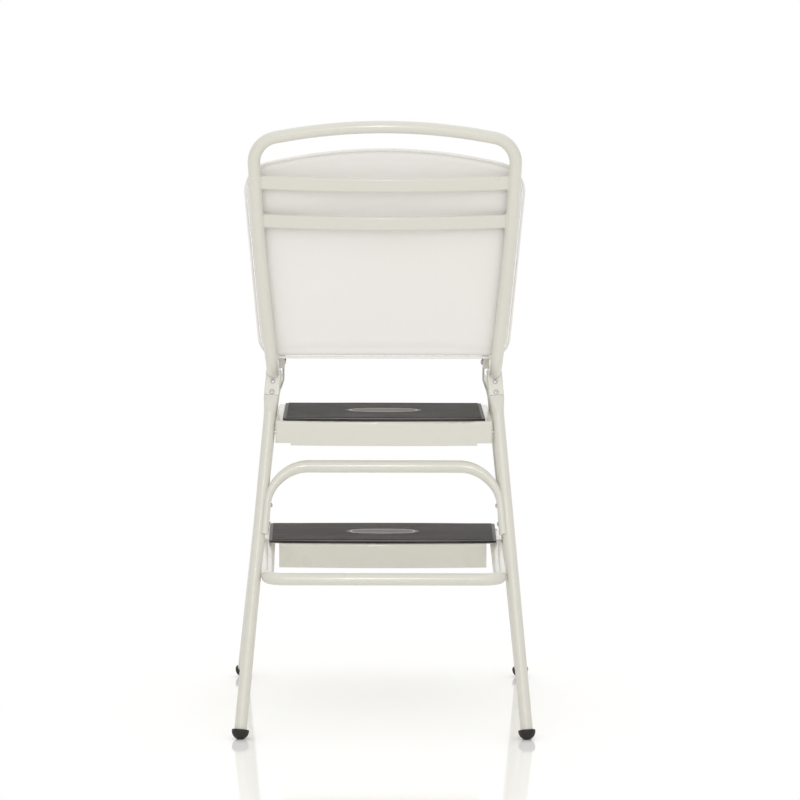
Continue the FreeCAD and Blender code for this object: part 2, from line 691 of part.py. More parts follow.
def step_mat(rear_half, front_half, y0, y1, z):
    """Rubber mat with ribs across the step, round a smooth oval in its middle."""
    slab = prism(step_outline(rear_half, front_half, y0, y1, z), V(0, 0, MAT_THICK))
    upright = [edge for edge in slab.Edges if abs(edge.tangentAt(edge.FirstParameter).z) > 0.9]
    slab = slab.makeFillet(MAT_CORNER_R, upright)
    middle = (y0 + y1) / 2
    ribbed = y1 - y0 - 2 * STEP_BOW
    count = int(ribbed // MAT_RIB_PITCH)
    rib_w = MAT_RIB_PITCH * 0.3
    foot_z = z + MAT_THICK - FIT
    ribs = []
    for index in range(count):
        y = middle + (index - (count - 1) / 2) * MAT_RIB_PITCH
        end = rear_half + (front_half - rear_half) * (y - y0) / (y1 - y0) - MAT_RIB_END
        corners = [V(-end, y - rib_w, foot_z), V(-end, y + rib_w, foot_z),
                   V(-end, y + rib_w * 0.6, z + MAT_TOTAL), V(-end, y - rib_w * 0.6, z + MAT_TOTAL)]
        ribs.append(prism(Part.makePolygon(corners + corners[:1]), V(2 * end, 0, 0)))
    oval = Part.Ellipse(V(0, middle, foot_z), MAT_OVAL_LENGTH / 2, MAT_OVAL_DEPTH / 2).toShape()
    ribs.append(prism(Part.Wire(oval), V(0, 0, MAT_RIB + FIT)))
    return slab.fuse(ribs)


def upper_step_mat():
    return step_mat(UPPER_MAT_HALF, UPPER_MAT_HALF, UPPER_STEP_REAR + MAT_INSET,
                    UPPER_STEP_FRONT - UPPER_MAT_FRONT_INSET, UPPER_STEP_TOP)


def lower_step_mat():
    return step_mat(arm_x(LOWER_STEP_REAR + STEP_BOW), arm_x(LOWER_STEP_FRONT - STEP_BOW),
                    LOWER_STEP_REAR + MAT_INSET, LOWER_STEP_FRONT - MAT_INSET, lower_step_top())


# Seat: modelled lying down with its hinge axis at the origin, then swung up

def front_corner(inset, front_x):
    """Radius of a front corner, and where the tangents of the bowed front and the side meet."""
    radius = max(SEAT_FRONT_CORNER_R - inset, SEAT_LEAST_CORNER_R)
    bow = SEAT_FRONT_BOW_R - inset
    slope = math.asin((front_x - CORNER_ROOM * radius) / bow)
    apex = SEAT_BEHIND + SEAT_DEPTH - inset + bow * (1 / math.cos(slope) - 1)
    return radius, bow, apex, apex - front_x * math.tan(slope)


def seat_outline(inset, z):
    """The seat's rounded outline, drawn in evenly by an inset, at a height."""
    full_y = front_corner(0, SEAT_FRONT_HALF)[3]
    lean = math.atan2(SEAT_FRONT_HALF - SEAT_REAR_HALF, full_y - SEAT_BEHIND)
    rear = SEAT_BEHIND + inset
    rear_x, front_x = [SEAT_REAR_HALF + (y - SEAT_BEHIND) * math.tan(lean) - inset / math.cos(lean)
                       for y in (rear, full_y - inset)]
    rear_r = max(SEAT_REAR_CORNER_R - inset, SEAT_LEAST_CORNER_R)
    front_r, bow, apex, corner_y = front_corner(inset, front_x)
    points = [V(0, rear, z), V(rear_x, rear, z), V(front_x, corner_y, z), V(0, apex, z),
              V(-front_x, corner_y, z), V(-rear_x, rear, z), V(0, rear, z)]
    return Part.Wire(bent_edges(points, [rear_r, front_r, bow, front_r, rear_r]))


def swung_up(shape):
    standing = shape.copy()
    standing.rotate(V(0, 0, 0), V(1, 0, 0), SEAT_SWING)
    standing.translate(V(0, HINGE_Y, HINGE_Z))
    return standing


def seat_board():
    return prism(seat_outline(BOARD_INSET, -BOARD_BELOW_AXIS), V(0, 0, BOARD_THICK))


def seat_cushion():
    """Pad with tucked-in sides, a rounded rim inside the welt and a crowned face; it holds the board."""
    low = -BOARD_BELOW_AXIS
    seam = 2 * WELT_R + FACE_GAP
    sides = []
    for share in (0, 0.15, 0.4, 0.7, 1):
        sides.append((seam + (CUSHION_TUCK - seam) * (1 - share) ** 2, low + (CUSHION_SIDE - low) * share))
    face = []
    for turn in (0, math.pi / 6, math.pi / 3, math.pi / 2):
        face.append((seam + CUSHION_ROUND * (1 - math.cos(turn)),
                     CUSHION_SIDE + (CUSHION_EDGE - FACE_GAP - CUSHION_SIDE) * math.sin(turn)))
    crown_start = SEAT_FRONT_HALF - HOOP_WAIST_X + TUBE_R
    crown_end = min(SEAT_DEPTH / 2, SEAT_REAR_HALF) - CUSHION_FLAT_HALF
    for share in (0, 1 / 3, 2 / 3, 1):
        face.append((crown_start + (crown_end - crown_start) * share,
                     CUSHION_EDGE + CUSHION_CROWN * math.sin(math.pi / 2 * share)))
    body = Part.makeLoft([seat_outline(inset, z) for inset, z in sides], True, False)
    top = Part.makeLoft([seat_outline(inset, z) for inset, z in face], True, True)
    pocket = prism(seat_outline(BOARD_INSET - FACE_GAP, low - SHEET), V(0, 0, BOARD_THICK + FACE_GAP + SHEET))
    return body.fuse(top).cut(pocket)


def seat_welt():
    """Piped cord along the seam between face and side."""
    path = seat_outline(WELT_R, CUSHION_SIDE)
    ring = Part.Wire(Part.makeCircle(WELT_R, V(0, SEAT_BEHIND + WELT_R, CUSHION_SIDE), V(1, 0, 0)))
    return path.makePipeShell([ring], True, False)


def hinge_arm(side):
    """Angle strip under the board, ending in an eye on the hinge pin."""
    inner_x = ARM_OUTER_X - ARM_THICK
    top = -BOARD_BELOW_AXIS
    clear = SEAT_BEHIND + 4.0
    corners = [V(inner_x, -ARM_EYE_R * 0.5, -ARM_EYE_R * 0.86), V(inner_x, clear, -ARM_EYE_R - 2),
               V(inner_x, ARM_FULL_DEPTH_Y, -ARM_DEPTH), V(inner_x, ARM_LENGTH - ARM_TIP_TAPER, -ARM_DEPTH),
               V(inner_x, ARM_LENGTH, top - 4), V(inner_x, ARM_LENGTH, top), V(inner_x, clear, top),
               V(inner_x, ARM_EYE_R * 0.86, ARM_EYE_R * 0.5)]
    blade = prism(Part.makePolygon(corners + corners[:1]), V(ARM_THICK, 0, 0))
    eye = rod(V(inner_x, 0, 0), V(ARM_OUTER_X, 0, 0), ARM_EYE_R)
    leaf = box(inner_x - ARM_LEAF, inner_x, SEAT_BEHIND + BOARD_INSET, ARM_LENGTH, top - STRIP, top)
    arm = fused([blade, eye, leaf]).cut(rod(V(inner_x - 1, 0, 0), V(ARM_OUTER_X + 1, 0, 0), PIN_R + FIT))
    for place in arm_screw_places():
        arm = arm.cut(rod(place - V(0, 0, 5), place + V(0, 0, 5), SCREW_R + FIT))
    return arm if side > 0 else arm.mirror(V(0, 0, 0), V(1, 0, 0))


def arm_screw_places():
    x = ARM_OUTER_X - ARM_THICK - ARM_LEAF / 2
    start = SEAT_BEHIND + BOARD_INSET
    return [V(x, start + share * (ARM_LENGTH - start), -BOARD_BELOW_AXIS - STRIP)
            for share in (0.15, 0.5, 0.85)]


def arm_screws():
    """Pan-head screws that hold the arms; their shanks end at the board's face."""
    profile = [(-2.2, 0), (-2.2, SCREW_HEAD_R * 0.5), (-1.2, SCREW_HEAD_R * 0.9), (0, SCREW_HEAD_R),
               (0, SCREW_R), (STRIP, SCREW_R), (STRIP, 0)]
    places = [V(side * p.x, p.y, p.z) for side in (-1, 1) for p in arm_screw_places()]
    return solids([turned(profile, place, V(0, 0, 1)) for place in places])


def seat_bumpers():
    """Rubber buttons under the board that land on the side rails."""
    reach = HINGE_Z - BOARD_BELOW_AXIS - (RAIL_Z + TUBE_R) - FACE_GAP
    profile = [(0, 0), (0, BUMPER_R), (reach * 0.6, BUMPER_R), (reach, BUMPER_R * 0.7), (reach, 0)]
    places = [V(side * RAIL_X, BUMPER_FIRST + BUMPER_PITCH * step, -BOARD_BELOW_AXIS)
              for side in (-1, 1) for step in (0, 1)]
    return solids([turned(profile, place, V(0, 0, -1)) for place in places])


# Hinge brackets on the rails

def hinge_bracket(side, hoop_solid):
    """U-shaped bracket welded to the rail, closed at the rear, with the pin through its cheeks."""
    inner_x = ARM_OUTER_X - ARM_THICK - FACE_GAP - STRIP
    outer_x = ARM_OUTER_X + FACE_GAP + STRIP
    rear, front = HINGE_Y - BRACKET_REACH, HINGE_Y + BRACKET_REACH - 2
    outer = box(inner_x, outer_x, rear, front, BRACKET_FLOOR_Z, HINGE_Z + BRACKET_TOP)
    hollow = box(inner_x + STRIP, outer_x - STRIP, rear + STRIP, front + 1,
                 BRACKET_FLOOR_Z + STRIP, HINGE_Z + BRACKET_TOP + 1)
    corner = [edge for edge in outer.Edges if is_cheek_corner(edge)]
    bracket = outer.makeFillet(BRACKET_TOP * 0.8, corner).cut(hollow).cut(hoop_solid)
    bracket = bracket.cut(rod(V(inner_x - 1, HINGE_Y, HINGE_Z), V(outer_x + 1, HINGE_Y, HINGE_Z), PIN_R + FIT))
    bracket = max(bracket.Solids, key=lambda piece: piece.Volume)
    return bracket if side > 0 else bracket.mirror(V(0, 0, 0), V(1, 0, 0))


def is_cheek_corner(edge):
    """The top edges that run along X."""
    ends = [vertex.Point for vertex in edge.Vertexes]
    return abs(ends[1].x - ends[0].x) > FIT and ends[0].z > HINGE_Z


def hinge_pins():
    inner_x = ARM_OUTER_X - ARM_THICK - FACE_GAP - STRIP
    outer_x = ARM_OUTER_X + FACE_GAP + STRIP
    length = outer_x - inner_x
    profile = [(-1.8, 0), (-1.8, PIN_HEAD_R * 0.7), (0, PIN_HEAD_R), (0, PIN_R), (length, PIN_R),
               (length, PIN_HEAD_R * 0.9), (length + 1.4, PIN_HEAD_R * 0.6), (length + 1.4, 0)]
    return solids([turned(profile, V(side * inner_x, HINGE_Y, HINGE_Z), V(side, 0, 0)) for side in (-1, 1)])


# Plugs and fasteners

def end_plug(end, outward):
    """Plastic plug: a domed cap on the tube's end and a shank in its bore."""
    bore_r = TUBE_R - TUBE_WALL - FIT
    profile = [(-PLUG_SHANK, 0), (-PLUG_SHANK, bore_r - 0.6), (-PLUG_SHANK + 2, bore_r), (0, bore_r),
               (0, TUBE_R), (PLUG_HEAD * 0.5, TUBE_R * 0.92), (PLUG_HEAD * 0.85, TUBE_R * 0.6), (PLUG_HEAD, 0)]
    return turned(profile, end, outward)


def rail_plugs():
    return solids([end_plug(V(side * RAIL_X, RAIL_FRONT_Y, RAIL_Z), V(0, 1, 0)) for side in (-1, 1)])


def stretcher_plugs():
    points = stretcher_points()
    return solids([end_plug(points[0], points[0] - points[1]), end_plug(points[3], points[3] - points[2])])


def leg_top_rivets():
    pieces = []
    for side in (-1, 1):
        rearward = leg_frame(side, rear_leg_point)[2]
        for point in leg_rivet_points(side):
            pieces.append(rivet(point + rearward * SQUASH_THICK / 2, rearward * -1,
                                SQUASH_THICK + FIT + STRIP, RIVET_HEAD_R))
    return solids(pieces)


def brace_rivets():
    pieces = []
    for side in (-1, 1):
        for z in BRACE_RIVET_Z:
            end_x = brace_end_x(1, z)
            wall_x = end_x + BRACE_THICK / 2 + FIT + TUBE_WALL
            pieces.append(side_rivet(side, end_x - BRACE_THICK / 2, wall_x, rear_leg_point(1, z).y, z))
    return solids(pieces)


def stretcher_rivets():
    """Through the arms into the legs."""
    pieces = []
    for leg in (rear_leg_point(1, STRETCHER_Z), front_leg_point(1, STRETCHER_Z)):
        for side in (-1, 1):
            pieces.append(side_rivet(side, arm_x(leg.y) - TUBE_R, leg.x - BORE_R, leg.y, STRETCHER_Z))
    return solids(pieces)


def upper_step_rivets():
    return solids([side_rivet(math.copysign(1, p.x), upper_step_half() - SHEET, abs(p.x) - BORE_R, p.y, p.z)
                   for p in upper_rivet_points()])


def lower_step_rivets():
    return solids([sunk_rivet(point) for point in lower_rivet_points()])


def front_leg_rivets():
    inner_x = RAIL_X - TUBE_R - FACE_GAP - FLAT_THICK
    return solids([side_rivet(side, inner_x, RAIL_X - BORE_R, p.y, p.z)
                   for side in (-1, 1) for p in front_rivet_points(side)])


def back_hoop():
    tube = bent_tube(hoop_points(), hoop_radii())
    holes = [inner_hole(point) for side in (-1, 1) for point in front_rivet_points(side)]
    return tube.cut(holes)


def all_parts():
    hoop_solid = hoop_bar(TUBE_R)
    upper_slat_z = HOOP_HEIGHT - UPPER_SLAT_DROP
    parts = {
        "back_hoop": back_hoop(),
        "upper_slat": back_slat(upper_slat_z, hoop_solid),
        "lower_slat": back_slat(upper_slat_z - SLAT_PITCH, hoop_solid),
        "rail_plugs": rail_plugs(),
        "rear_brace": rear_brace(),
        "brace_rivets": brace_rivets(),
        "step_stretcher": step_stretcher(),
        "stretcher_rivets": stretcher_rivets(),
        "stretcher_plugs": stretcher_plugs(),
        "upper_step_pan": upper_step_pan(),
        "upper_step_mat": upper_step_mat(),
        "upper_step_rivets": upper_step_rivets(),
        "lower_step_pan": lower_step_pan(),
        "lower_step_mat": lower_step_mat(),
        "lower_step_rivets": lower_step_rivets(),
        "leg_top_rivets": leg_top_rivets(),
        "front_leg_rivets": front_leg_rivets(),
        "hinge_pins": hinge_pins(),
        "seat_board": swung_up(seat_board()),
        "seat_cushion": swung_up(seat_cushion()),
        "seat_welt": swung_up(seat_welt()),
        "arm_screws": swung_up(arm_screws()),
        "seat_bumpers": swung_up(seat_bumpers()),
    }
    for side, hand in ((-1, "left"), (1, "right")):
        parts["rear_leg_" + hand] = rear_leg(side)
        parts["front_leg_" + hand] = front_leg(side)
        parts["rear_foot_" + hand] = foot(side, rear_leg_point)
        parts["front_foot_" + hand] = foot(side, front_leg_point)
        parts["leg_tab_" + hand] = leg_tab(side)
        parts["hinge_bracket_" + hand] = hinge_bracket(side, hoop_solid)
        parts["hinge_arm_" + hand] = swung_up(hinge_arm(side))
    return parts


os.makedirs("parts", exist_ok=True)
PARTS = all_parts()
for node, shape in PARTS.items():
    shape.exportStep("parts/" + node + ".step")
WHOLE = Part.makeCompound(list(PARTS.values())).BoundBox
print("nodes", len(PARTS), "size %.1f x %.1f x %.1f" % (WHOLE.XLength, WHOLE.YLength, WHOLE.ZLength))
print("y from %.2f to %.2f, hinge at y %.2f z %.2f" % (WHOLE.YMin, WHOLE.YMax, HINGE_Y, HINGE_Z))
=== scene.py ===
# %% [markdown]
# # Step stool chair with a flip-up seat
# The real chair is a bent steel tube frame in warm white enamel, with two folded steel steps under
# rubber mats and a padded vinyl seat that swings up against the back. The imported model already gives
# every solid its place and its true size. This notebook dresses it: the finish of each surface, the
# soft pad, the folded hem and its staples, the weld beads, and a plain white studio.

# %% Load the frame and name the driving values
import bpy
import json
import math
from mathutils import Matrix, Vector
from mathutils.bvhtree import BVHTree
from mathutils.kdtree import KDTree


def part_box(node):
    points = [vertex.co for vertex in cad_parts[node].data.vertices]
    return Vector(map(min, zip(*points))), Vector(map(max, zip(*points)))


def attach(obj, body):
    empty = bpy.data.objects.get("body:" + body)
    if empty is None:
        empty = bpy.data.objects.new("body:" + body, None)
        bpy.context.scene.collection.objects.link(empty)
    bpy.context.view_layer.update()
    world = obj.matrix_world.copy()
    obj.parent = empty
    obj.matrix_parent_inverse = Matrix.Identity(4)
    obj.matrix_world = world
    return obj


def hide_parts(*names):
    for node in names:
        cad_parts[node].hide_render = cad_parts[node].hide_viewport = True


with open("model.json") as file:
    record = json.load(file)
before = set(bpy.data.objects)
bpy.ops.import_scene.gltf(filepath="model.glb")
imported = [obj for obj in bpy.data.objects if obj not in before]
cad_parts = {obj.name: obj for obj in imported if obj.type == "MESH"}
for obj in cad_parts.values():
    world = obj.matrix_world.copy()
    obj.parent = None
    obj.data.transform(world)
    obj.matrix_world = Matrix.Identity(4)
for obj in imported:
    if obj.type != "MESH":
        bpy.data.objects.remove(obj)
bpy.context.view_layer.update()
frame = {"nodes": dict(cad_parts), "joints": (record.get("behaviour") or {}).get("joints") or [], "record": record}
NODES = frame["nodes"]
HINGE = Vector(frame["joints"][0]["pos_m"])
SWING = math.radians(frame["joints"][0]["range_deg"][1])
MM = 0.001

print("nodes", len(NODES), "hinge", tuple(HINGE), "swing", round(math.degrees(SWING), 1))

# %% [markdown]
# ## Shader building blocks
# A material here is a small net of nodes, and most nets need the same few steps: a noise, a change of
# range, a mix of two colours, a bump. Each step could be written out every time, but a helper that
# adds one node and hands back its output keeps a material down to the lines that describe the finish.

# %% Node helpers


def new_node(tree, kind, **values):
    """Add a node and set its own settings."""
    node = tree.nodes.new(kind)
    for key, value in values.items():
        setattr(node, key, value)
    return node


def noise(tree, vector, scale, detail=4.0, roughness=0.55):
    """Noise over a place, from 0 to 1 with most of it near the middle."""
    node = new_node(tree, "ShaderNodeTexNoise")
    node.inputs["Scale"].default_value = scale
    node.inputs["Detail"].default_value = detail
    node.inputs["Roughness"].default_value = roughness
    tree.links.new(vector, node.inputs["Vector"])
    return node.outputs["Fac"]


def remap(tree, value, low, high, to_low=0.0, to_high=1.0):
    """Stretch one range to another and hold it there."""
    node = new_node(tree, "ShaderNodeMapRange", clamp=True)
    for name, number in (("From Min", low), ("From Max", high), ("To Min", to_low), ("To Max", to_high)):
        node.inputs[name].default_value = number
    tree.links.new(value, node.inputs["Value"])
    return node.outputs["Result"]


def maths(tree, operation, first, second=0.0):
    """Maths node; each input is a socket or a number."""
    node = new_node(tree, "ShaderNodeMath", operation=operation)
    for socket, value in zip(node.inputs, (first, second)):
        if isinstance(value, (int, float)):
            socket.default_value = value
        else:
            tree.links.new(value, socket)
    return node.outputs["Value"]


def mixed(tree, factor, first, second):
    """Colour mix; each colour is a socket or a triple."""
    node = new_node(tree, "ShaderNodeMix", data_type="RGBA")
    tree.links.new(factor, node.inputs["Factor"])
    for socket, value in ((node.inputs["A"], first), (node.inputs["B"], second)):
        if isinstance(value, tuple):
            socket.default_value = (*value, 1)
        else:
            tree.links.new(value, socket)
    return node.outputs["Result"]


def bumped(tree, height, strength, distance, normal=None):
    """Normal of a surface raised by a height, on top of another normal if one is given."""
    node = new_node(tree, "ShaderNodeBump")
    node.inputs["Strength"].default_value = strength
    node.inputs["Distance"].default_value = distance
    tree.links.new(height, node.inputs["Height"])
    if normal is not None:
        tree.links.new(normal, node.inputs["Normal"])
    return node.outputs["Normal"]


print("node helpers ready")

# %% [markdown]
# ## Effects that several finishes share
# Rubbed edges, settled dust and the grain of vinyl turn up on more than one surface. Each could be
# built anew in every material, but a node group holds an effect once, with named inputs, so that every
# material can set its own amount. The groups give out masks and heights only, and the shader stays in
# the material itself.

# %% Start of a node group


def effect_group(name, inputs, outputs):
    """Empty node group with named float inputs and typed outputs."""
    group = bpy.data.node_groups.new(name, "ShaderNodeTree")
    for label, value in inputs:
        socket = group.interface.new_socket(label, in_out="INPUT", socket_type="NodeSocketFloat")
        socket.default_value = value
    for label, kind in outputs:
        group.interface.new_socket(label, in_out="OUTPUT", socket_type=kind)
    return group, group.nodes.new("NodeGroupInput"), group.nodes.new("NodeGroupOutput")


def scaled_noise(group, given, detail):
    """Noise whose scale is the group's own Scale input."""
    cloud = new_node(group, "ShaderNodeTexNoise")
    cloud.inputs["Detail"].default_value = detail
    group.links.new(new_node(group, "ShaderNodeTexCoord").outputs["Object"], cloud.inputs["Vector"])
    group.links.new(given.outputs["Scale"], cloud.inputs["Scale"])
    return cloud.outputs["Fac"]


print("node groups can be started")

# %% [markdown]
# ## Rubbed edges
# Paint and rubber wear first where an edge sticks out. The edges could be painted by hand, but
# Pointiness already tells how far a surface stands out, and noise breaks its even line up.

# %% Edge wear
POINTED = (0.53, 0.62)
BROKEN = (0.42, 0.62)


def edge_wear_group():
    """Mask of rubbed edges: convex edges broken up by noise."""
    group, given, result = effect_group("Edge wear", [("Amount", 0.5), ("Scale", 60.0)],
                                        [("Mask", "NodeSocketFloat")])
    pointed = remap(group, new_node(group, "ShaderNodeNewGeometry").outputs["Pointiness"], *POINTED)
    broken = remap(group, scaled_noise(group, given, 6), *BROKEN)
    mask = maths(group, "MULTIPLY", maths(group, "MULTIPLY", pointed, broken), given.outputs["Amount"])
    group.links.new(mask, result.inputs["Mask"])
    return group


WEAR = edge_wear_group()
print("shared effect", WEAR.name)

# %% [markdown]
# ## Settled dust
# Dust lies on what looks up, and never evenly. The normal's height tells which faces look up, and a
# slow noise spreads the dust over them in clouds.

# %% Dust
DUST_FACING = (0.35, 1.0)
DUST_CLOUD = (0.3, 0.7)


def dust_group():
    """Mask of settled dust: faces that look up, in soft clouds."""
    group, given, result = effect_group("Dust", [("Amount", 0.3), ("Scale", 9.0)],
                                        [("Mask", "NodeSocketFloat")])
    split = new_node(group, "ShaderNodeSeparateXYZ")
    group.links.new(new_node(group, "ShaderNodeNewGeometry").outputs["Normal"], split.inputs[0])
    facing = remap(group, split.outputs["Z"], *DUST_FACING)
    cloud = remap(group, scaled_noise(group, given, 5), *DUST_CLOUD)
    mask = maths(group, "MULTIPLY", maths(group, "MULTIPLY", facing, cloud), given.outputs["Amount"])
    group.links.new(mask, result.inputs["Mask"])
    return group


DUST = dust_group()
print("shared effect", DUST.name)

# %% [markdown]
# ## Grain of vinyl
# Upholstery vinyl is pressed with small rounded cells, like a fine leather. An image of leather would
# do, but soft Voronoi cells have the same look at any size, and a slower noise pulls them out of line.

# %% Vinyl grain
GRAIN_WARP_SCALE = 220
GRAIN_WARP = 0.004
GRAIN_SMOOTHNESS = 0.6


def vinyl_grain_group():
    """Height of an embossed vinyl grain: fine rounded cells, pulled about by a slower noise."""
    group, given, result = effect_group("Vinyl grain", [("Scale", 900.0)], [("Height", "NodeSocketFloat")])
    place = new_node(group, "ShaderNodeTexCoord").outputs["Object"]
    warp = new_node(group, "ShaderNodeTexNoise")
    warp.inputs["Scale"].default_value = GRAIN_WARP_SCALE
    group.links.new(place, warp.inputs["Vector"])
    cells = new_node(group, "ShaderNodeTexVoronoi", feature="SMOOTH_F1")
    cells.inputs["Smoothness"].default_value = GRAIN_SMOOTHNESS
    group.links.new(given.outputs["Scale"], cells.inputs["Scale"])
    shifted = new_node(group, "ShaderNodeMix", data_type="VECTOR")
    shifted.inputs["Factor"].default_value = GRAIN_WARP
    group.links.new(place, shifted.inputs["A"])
    group.links.new(warp.outputs["Color"], shifted.inputs["B"])
    group.links.new(shifted.outputs["Result"], cells.inputs["Vector"])
    group.links.new(cells.outputs["Distance"], result.inputs["Height"])
    return group


GRAIN = vinyl_grain_group()
print("shared effect", GRAIN.name)

# %% [markdown]
# ## Start of a material
# Every finish starts in the same way: a Principled shader with its fixed values, and the place of each
# point on the object. What stays the same all over a surface is set on the shader's own sockets, and
# only what changes over it comes through nodes.

# %% Material helpers


def use_group(tree, group, **values):
    """Place a shared effect in a material with its own values."""
    node = new_node(tree, "ShaderNodeGroup", node_tree=group)
    for label, value in values.items():
        node.inputs[label].default_value = value
    return node.outputs[0]


def new_material(name, roughness, **constants):
    """Material with a Principled shader; constants are set on the shader's own sockets."""
    material = bpy.data.materials.new(name)
    material.use_nodes = True
    shader = material.node_tree.nodes["Principled BSDF"]
    shader.inputs["Roughness"].default_value = roughness
    for label, value in constants.items():
        shader.inputs[label.replace("_", " ")].default_value = value
    place = material.node_tree.nodes.new("ShaderNodeTexCoord").outputs["Object"]
    return material, material.node_tree, shader, place


def scaled(tint, share):
    """A colour made lighter or darker by one share."""
    return tuple(c * share for c in tint)


print("material helpers ready")

# %% [markdown]
# ## Enamel on the tubes and the folded steel
# The frame is dipped in a warm white stove enamel: glossy, a little uneven like orange peel, and
# thinner where an edge has been rubbed. A plain coloured shader would give the colour but not the
# skin, so a clear coat lies over a satin base and a fine noise lifts both.

# %% Enamel
ENAMEL_TINT = (0.688, 0.675, 0.600)
ENAMEL_RUBBED = (0.52, 0.49, 0.42)
PEEL_SCALE = 420.0
PEEL_DEPTH = 0.3 * MM


def enamel(name, tint):
    """Glossy warm-white enamel with orange peel, a trace of tone and lightly rubbed edges."""
    material, tree, shader, place = new_material(name, 0.3, Coat_Weight=0.45, Coat_Roughness=0.09)
    cloud = noise(tree, place, 5.0, 2.0)
    toned = mixed(tree, remap(tree, cloud, 0.3, 0.75), tint, scaled(tint, 0.985))
    worn = use_group(tree, WEAR, Amount=0.12)
    tree.links.new(mixed(tree, worn, toned, ENAMEL_RUBBED), shader.inputs["Base Color"])
    gloss = remap(tree, noise(tree, place, 12.0, 2.0), 0.3, 0.7, 0.27, 0.31)
    tree.links.new(gloss, shader.inputs["Roughness"])
    peel = noise(tree, place, PEEL_SCALE, 1.0)
    tree.links.new(bumped(tree, peel, 0.02, PEEL_DEPTH), shader.inputs["Normal"])
    return material


MATERIALS = {"frame_paint": enamel("frame enamel", ENAMEL_TINT),
             "step_paint": enamel("step enamel", scaled(ENAMEL_TINT, 1.01))}
print("enamels", len(MATERIALS))

# %% [markdown]
# ## Vinyl on the pad and its piped seam
# The seat is covered in white upholstery vinyl with a fine pressed grain. The grain is far smaller
# than the pad's mesh, so it is a bump in the material, laid over a slower bump for the softness of
# the foam underneath. Painted shade darkens the creases between the cells, which keeps the white from
# looking like plastic, and the piping is the same vinyl painted a little lighter, as painted light.

# %% Vinyl
VINYL_TINT = (0.825, 0.807, 0.789)
VINYL_DUSTY = (0.6, 0.58, 0.53)
VINYL_GRAIN_SCALE = 900.0
VINYL_GRAIN_DEPTH = 0.3 * MM
FOAM_SCALE = 38.0
FOAM_DEPTH = 2 * MM


def vinyl(name, tint, grain=0.3):
    """Satin vinyl: embossed grain, a hint of yellowing in clouds and painted shade in the creases."""
    material, tree, shader, place = new_material(name, 0.45, Specular_IOR_Level=0.42)
    cloud = noise(tree, place, 5.0, 6.0)
    yellowed = (tint[0] * 0.99, tint[1] * 0.98, tint[2] * 0.96)
    toned = mixed(tree, remap(tree, cloud, 0.35, 0.7), tint, yellowed)
    height = use_group(tree, GRAIN, Scale=VINYL_GRAIN_SCALE)
    # painted shade: the low parts of the grain are painted a little darker, as shade in its creases
    painted_grain_shade = remap(tree, height, 0.0, 0.25, 0.10, 0.0)
    colour = mixed(tree, painted_grain_shade, toned, scaled(tint, 0.75))
    tree.links.new(mixed(tree, use_group(tree, DUST, Amount=0.04), colour, VINYL_DUSTY),
                   shader.inputs["Base Color"])
    gloss = remap(tree, noise(tree, place, 30.0), 0.3, 0.7, 0.40, 0.52)
    tree.links.new(gloss, shader.inputs["Roughness"])
    folds = bumped(tree, noise(tree, place, FOAM_SCALE, 3.0), 0.06, FOAM_DEPTH)
    tree.links.new(bumped(tree, height, grain, VINYL_GRAIN_DEPTH, folds), shader.inputs["Normal"])
    return material


MATERIALS["seat_vinyl"] = vinyl("seat vinyl", VINYL_TINT)
# painted light: the piping is the seat's own vinyl painted 7% lighter, with a softer grain bump
MATERIALS["welt_vinyl"] = vinyl("welt vinyl painted lighter", scaled(VINYL_TINT, 1.07), 0.15)
print("vinyls", MATERIALS["seat_vinyl"].name, MATERIALS["welt_vinyl"].name)

# %% [markdown]
# ## Rubber on the treads
# The treads are extruded rubber mats, so fine lines run along them from side to side, and shoes have
# greyed the crests. The mats' sides, which do not look up, are painted near black as shade. In the
# middle of each there is a smooth oval. The thin plain outline inside it could be a strip of mesh,
# but a mask drawn by distance from the mat's middle needs no new piece.

# %% Tread values
OVAL_LENGTH = 110 * MM
OVAL_DEPTH = 54 * MM
OVAL_LINE = 3.0 * MM
OVAL_GREY = (0.42, 0.41, 0.39)
TREAD_TINT = (0.066, 0.060, 0.055)
TREAD_RUBBED = (0.16, 0.155, 0.145)
TREAD_DUSTY = (0.26, 0.25, 0.23)
STREAK_STRETCH = (5.0, 420.0, 420.0)
STREAK_DEPTH = 0.6 * MM
# painted shade: faces that look up less than this are painted darker, down to near black on the sides
PAINTED_SHADE_FACING = (0.55, 0.9)
MAT_MIDDLES = []
for mat_name in ("upper_step_mat", "lower_step_mat"):
    low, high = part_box(mat_name)
    MAT_MIDDLES.append((0.0, (low[1] + high[1]) / 2, (low[2] + high[2]) / 2))
print("mats' middles", [tuple(round(v, 4) for v in middle) for middle in MAT_MIDDLES])

# %% Oval outline


def oval_outline(tree, place, middle, length, depth, line):
    """Mask of a thin outline round an oval of a given length and depth."""
    moved = new_node(tree, "ShaderNodeVectorMath", operation="SUBTRACT")
    tree.links.new(place, moved.inputs[0])
    moved.inputs[1].default_value = middle
    split = new_node(tree, "ShaderNodeSeparateXYZ")
    tree.links.new(moved.outputs["Vector"], split.inputs[0])
    aside = maths(tree, "ABSOLUTE", split.outputs["X"])
    beyond = maths(tree, "MAXIMUM", maths(tree, "SUBTRACT", aside, (length - depth) / 2))
    ahead = maths(tree, "ABSOLUTE", split.outputs["Y"])
    squares = maths(tree, "ADD", maths(tree, "POWER", beyond, 2.0), maths(tree, "POWER", ahead, 2.0))
    radius = maths(tree, "SQRT", squares)
    off = maths(tree, "ABSOLUTE", maths(tree, "SUBTRACT", radius, depth / 2 - 2 * line))
    return remap(tree, off, line * 0.35, line * 0.6, 1.0, 0.0)


print("oval", round(OVAL_LENGTH / MM), "by", round(OVAL_DEPTH / MM), "mm")

# %% Tread rubber


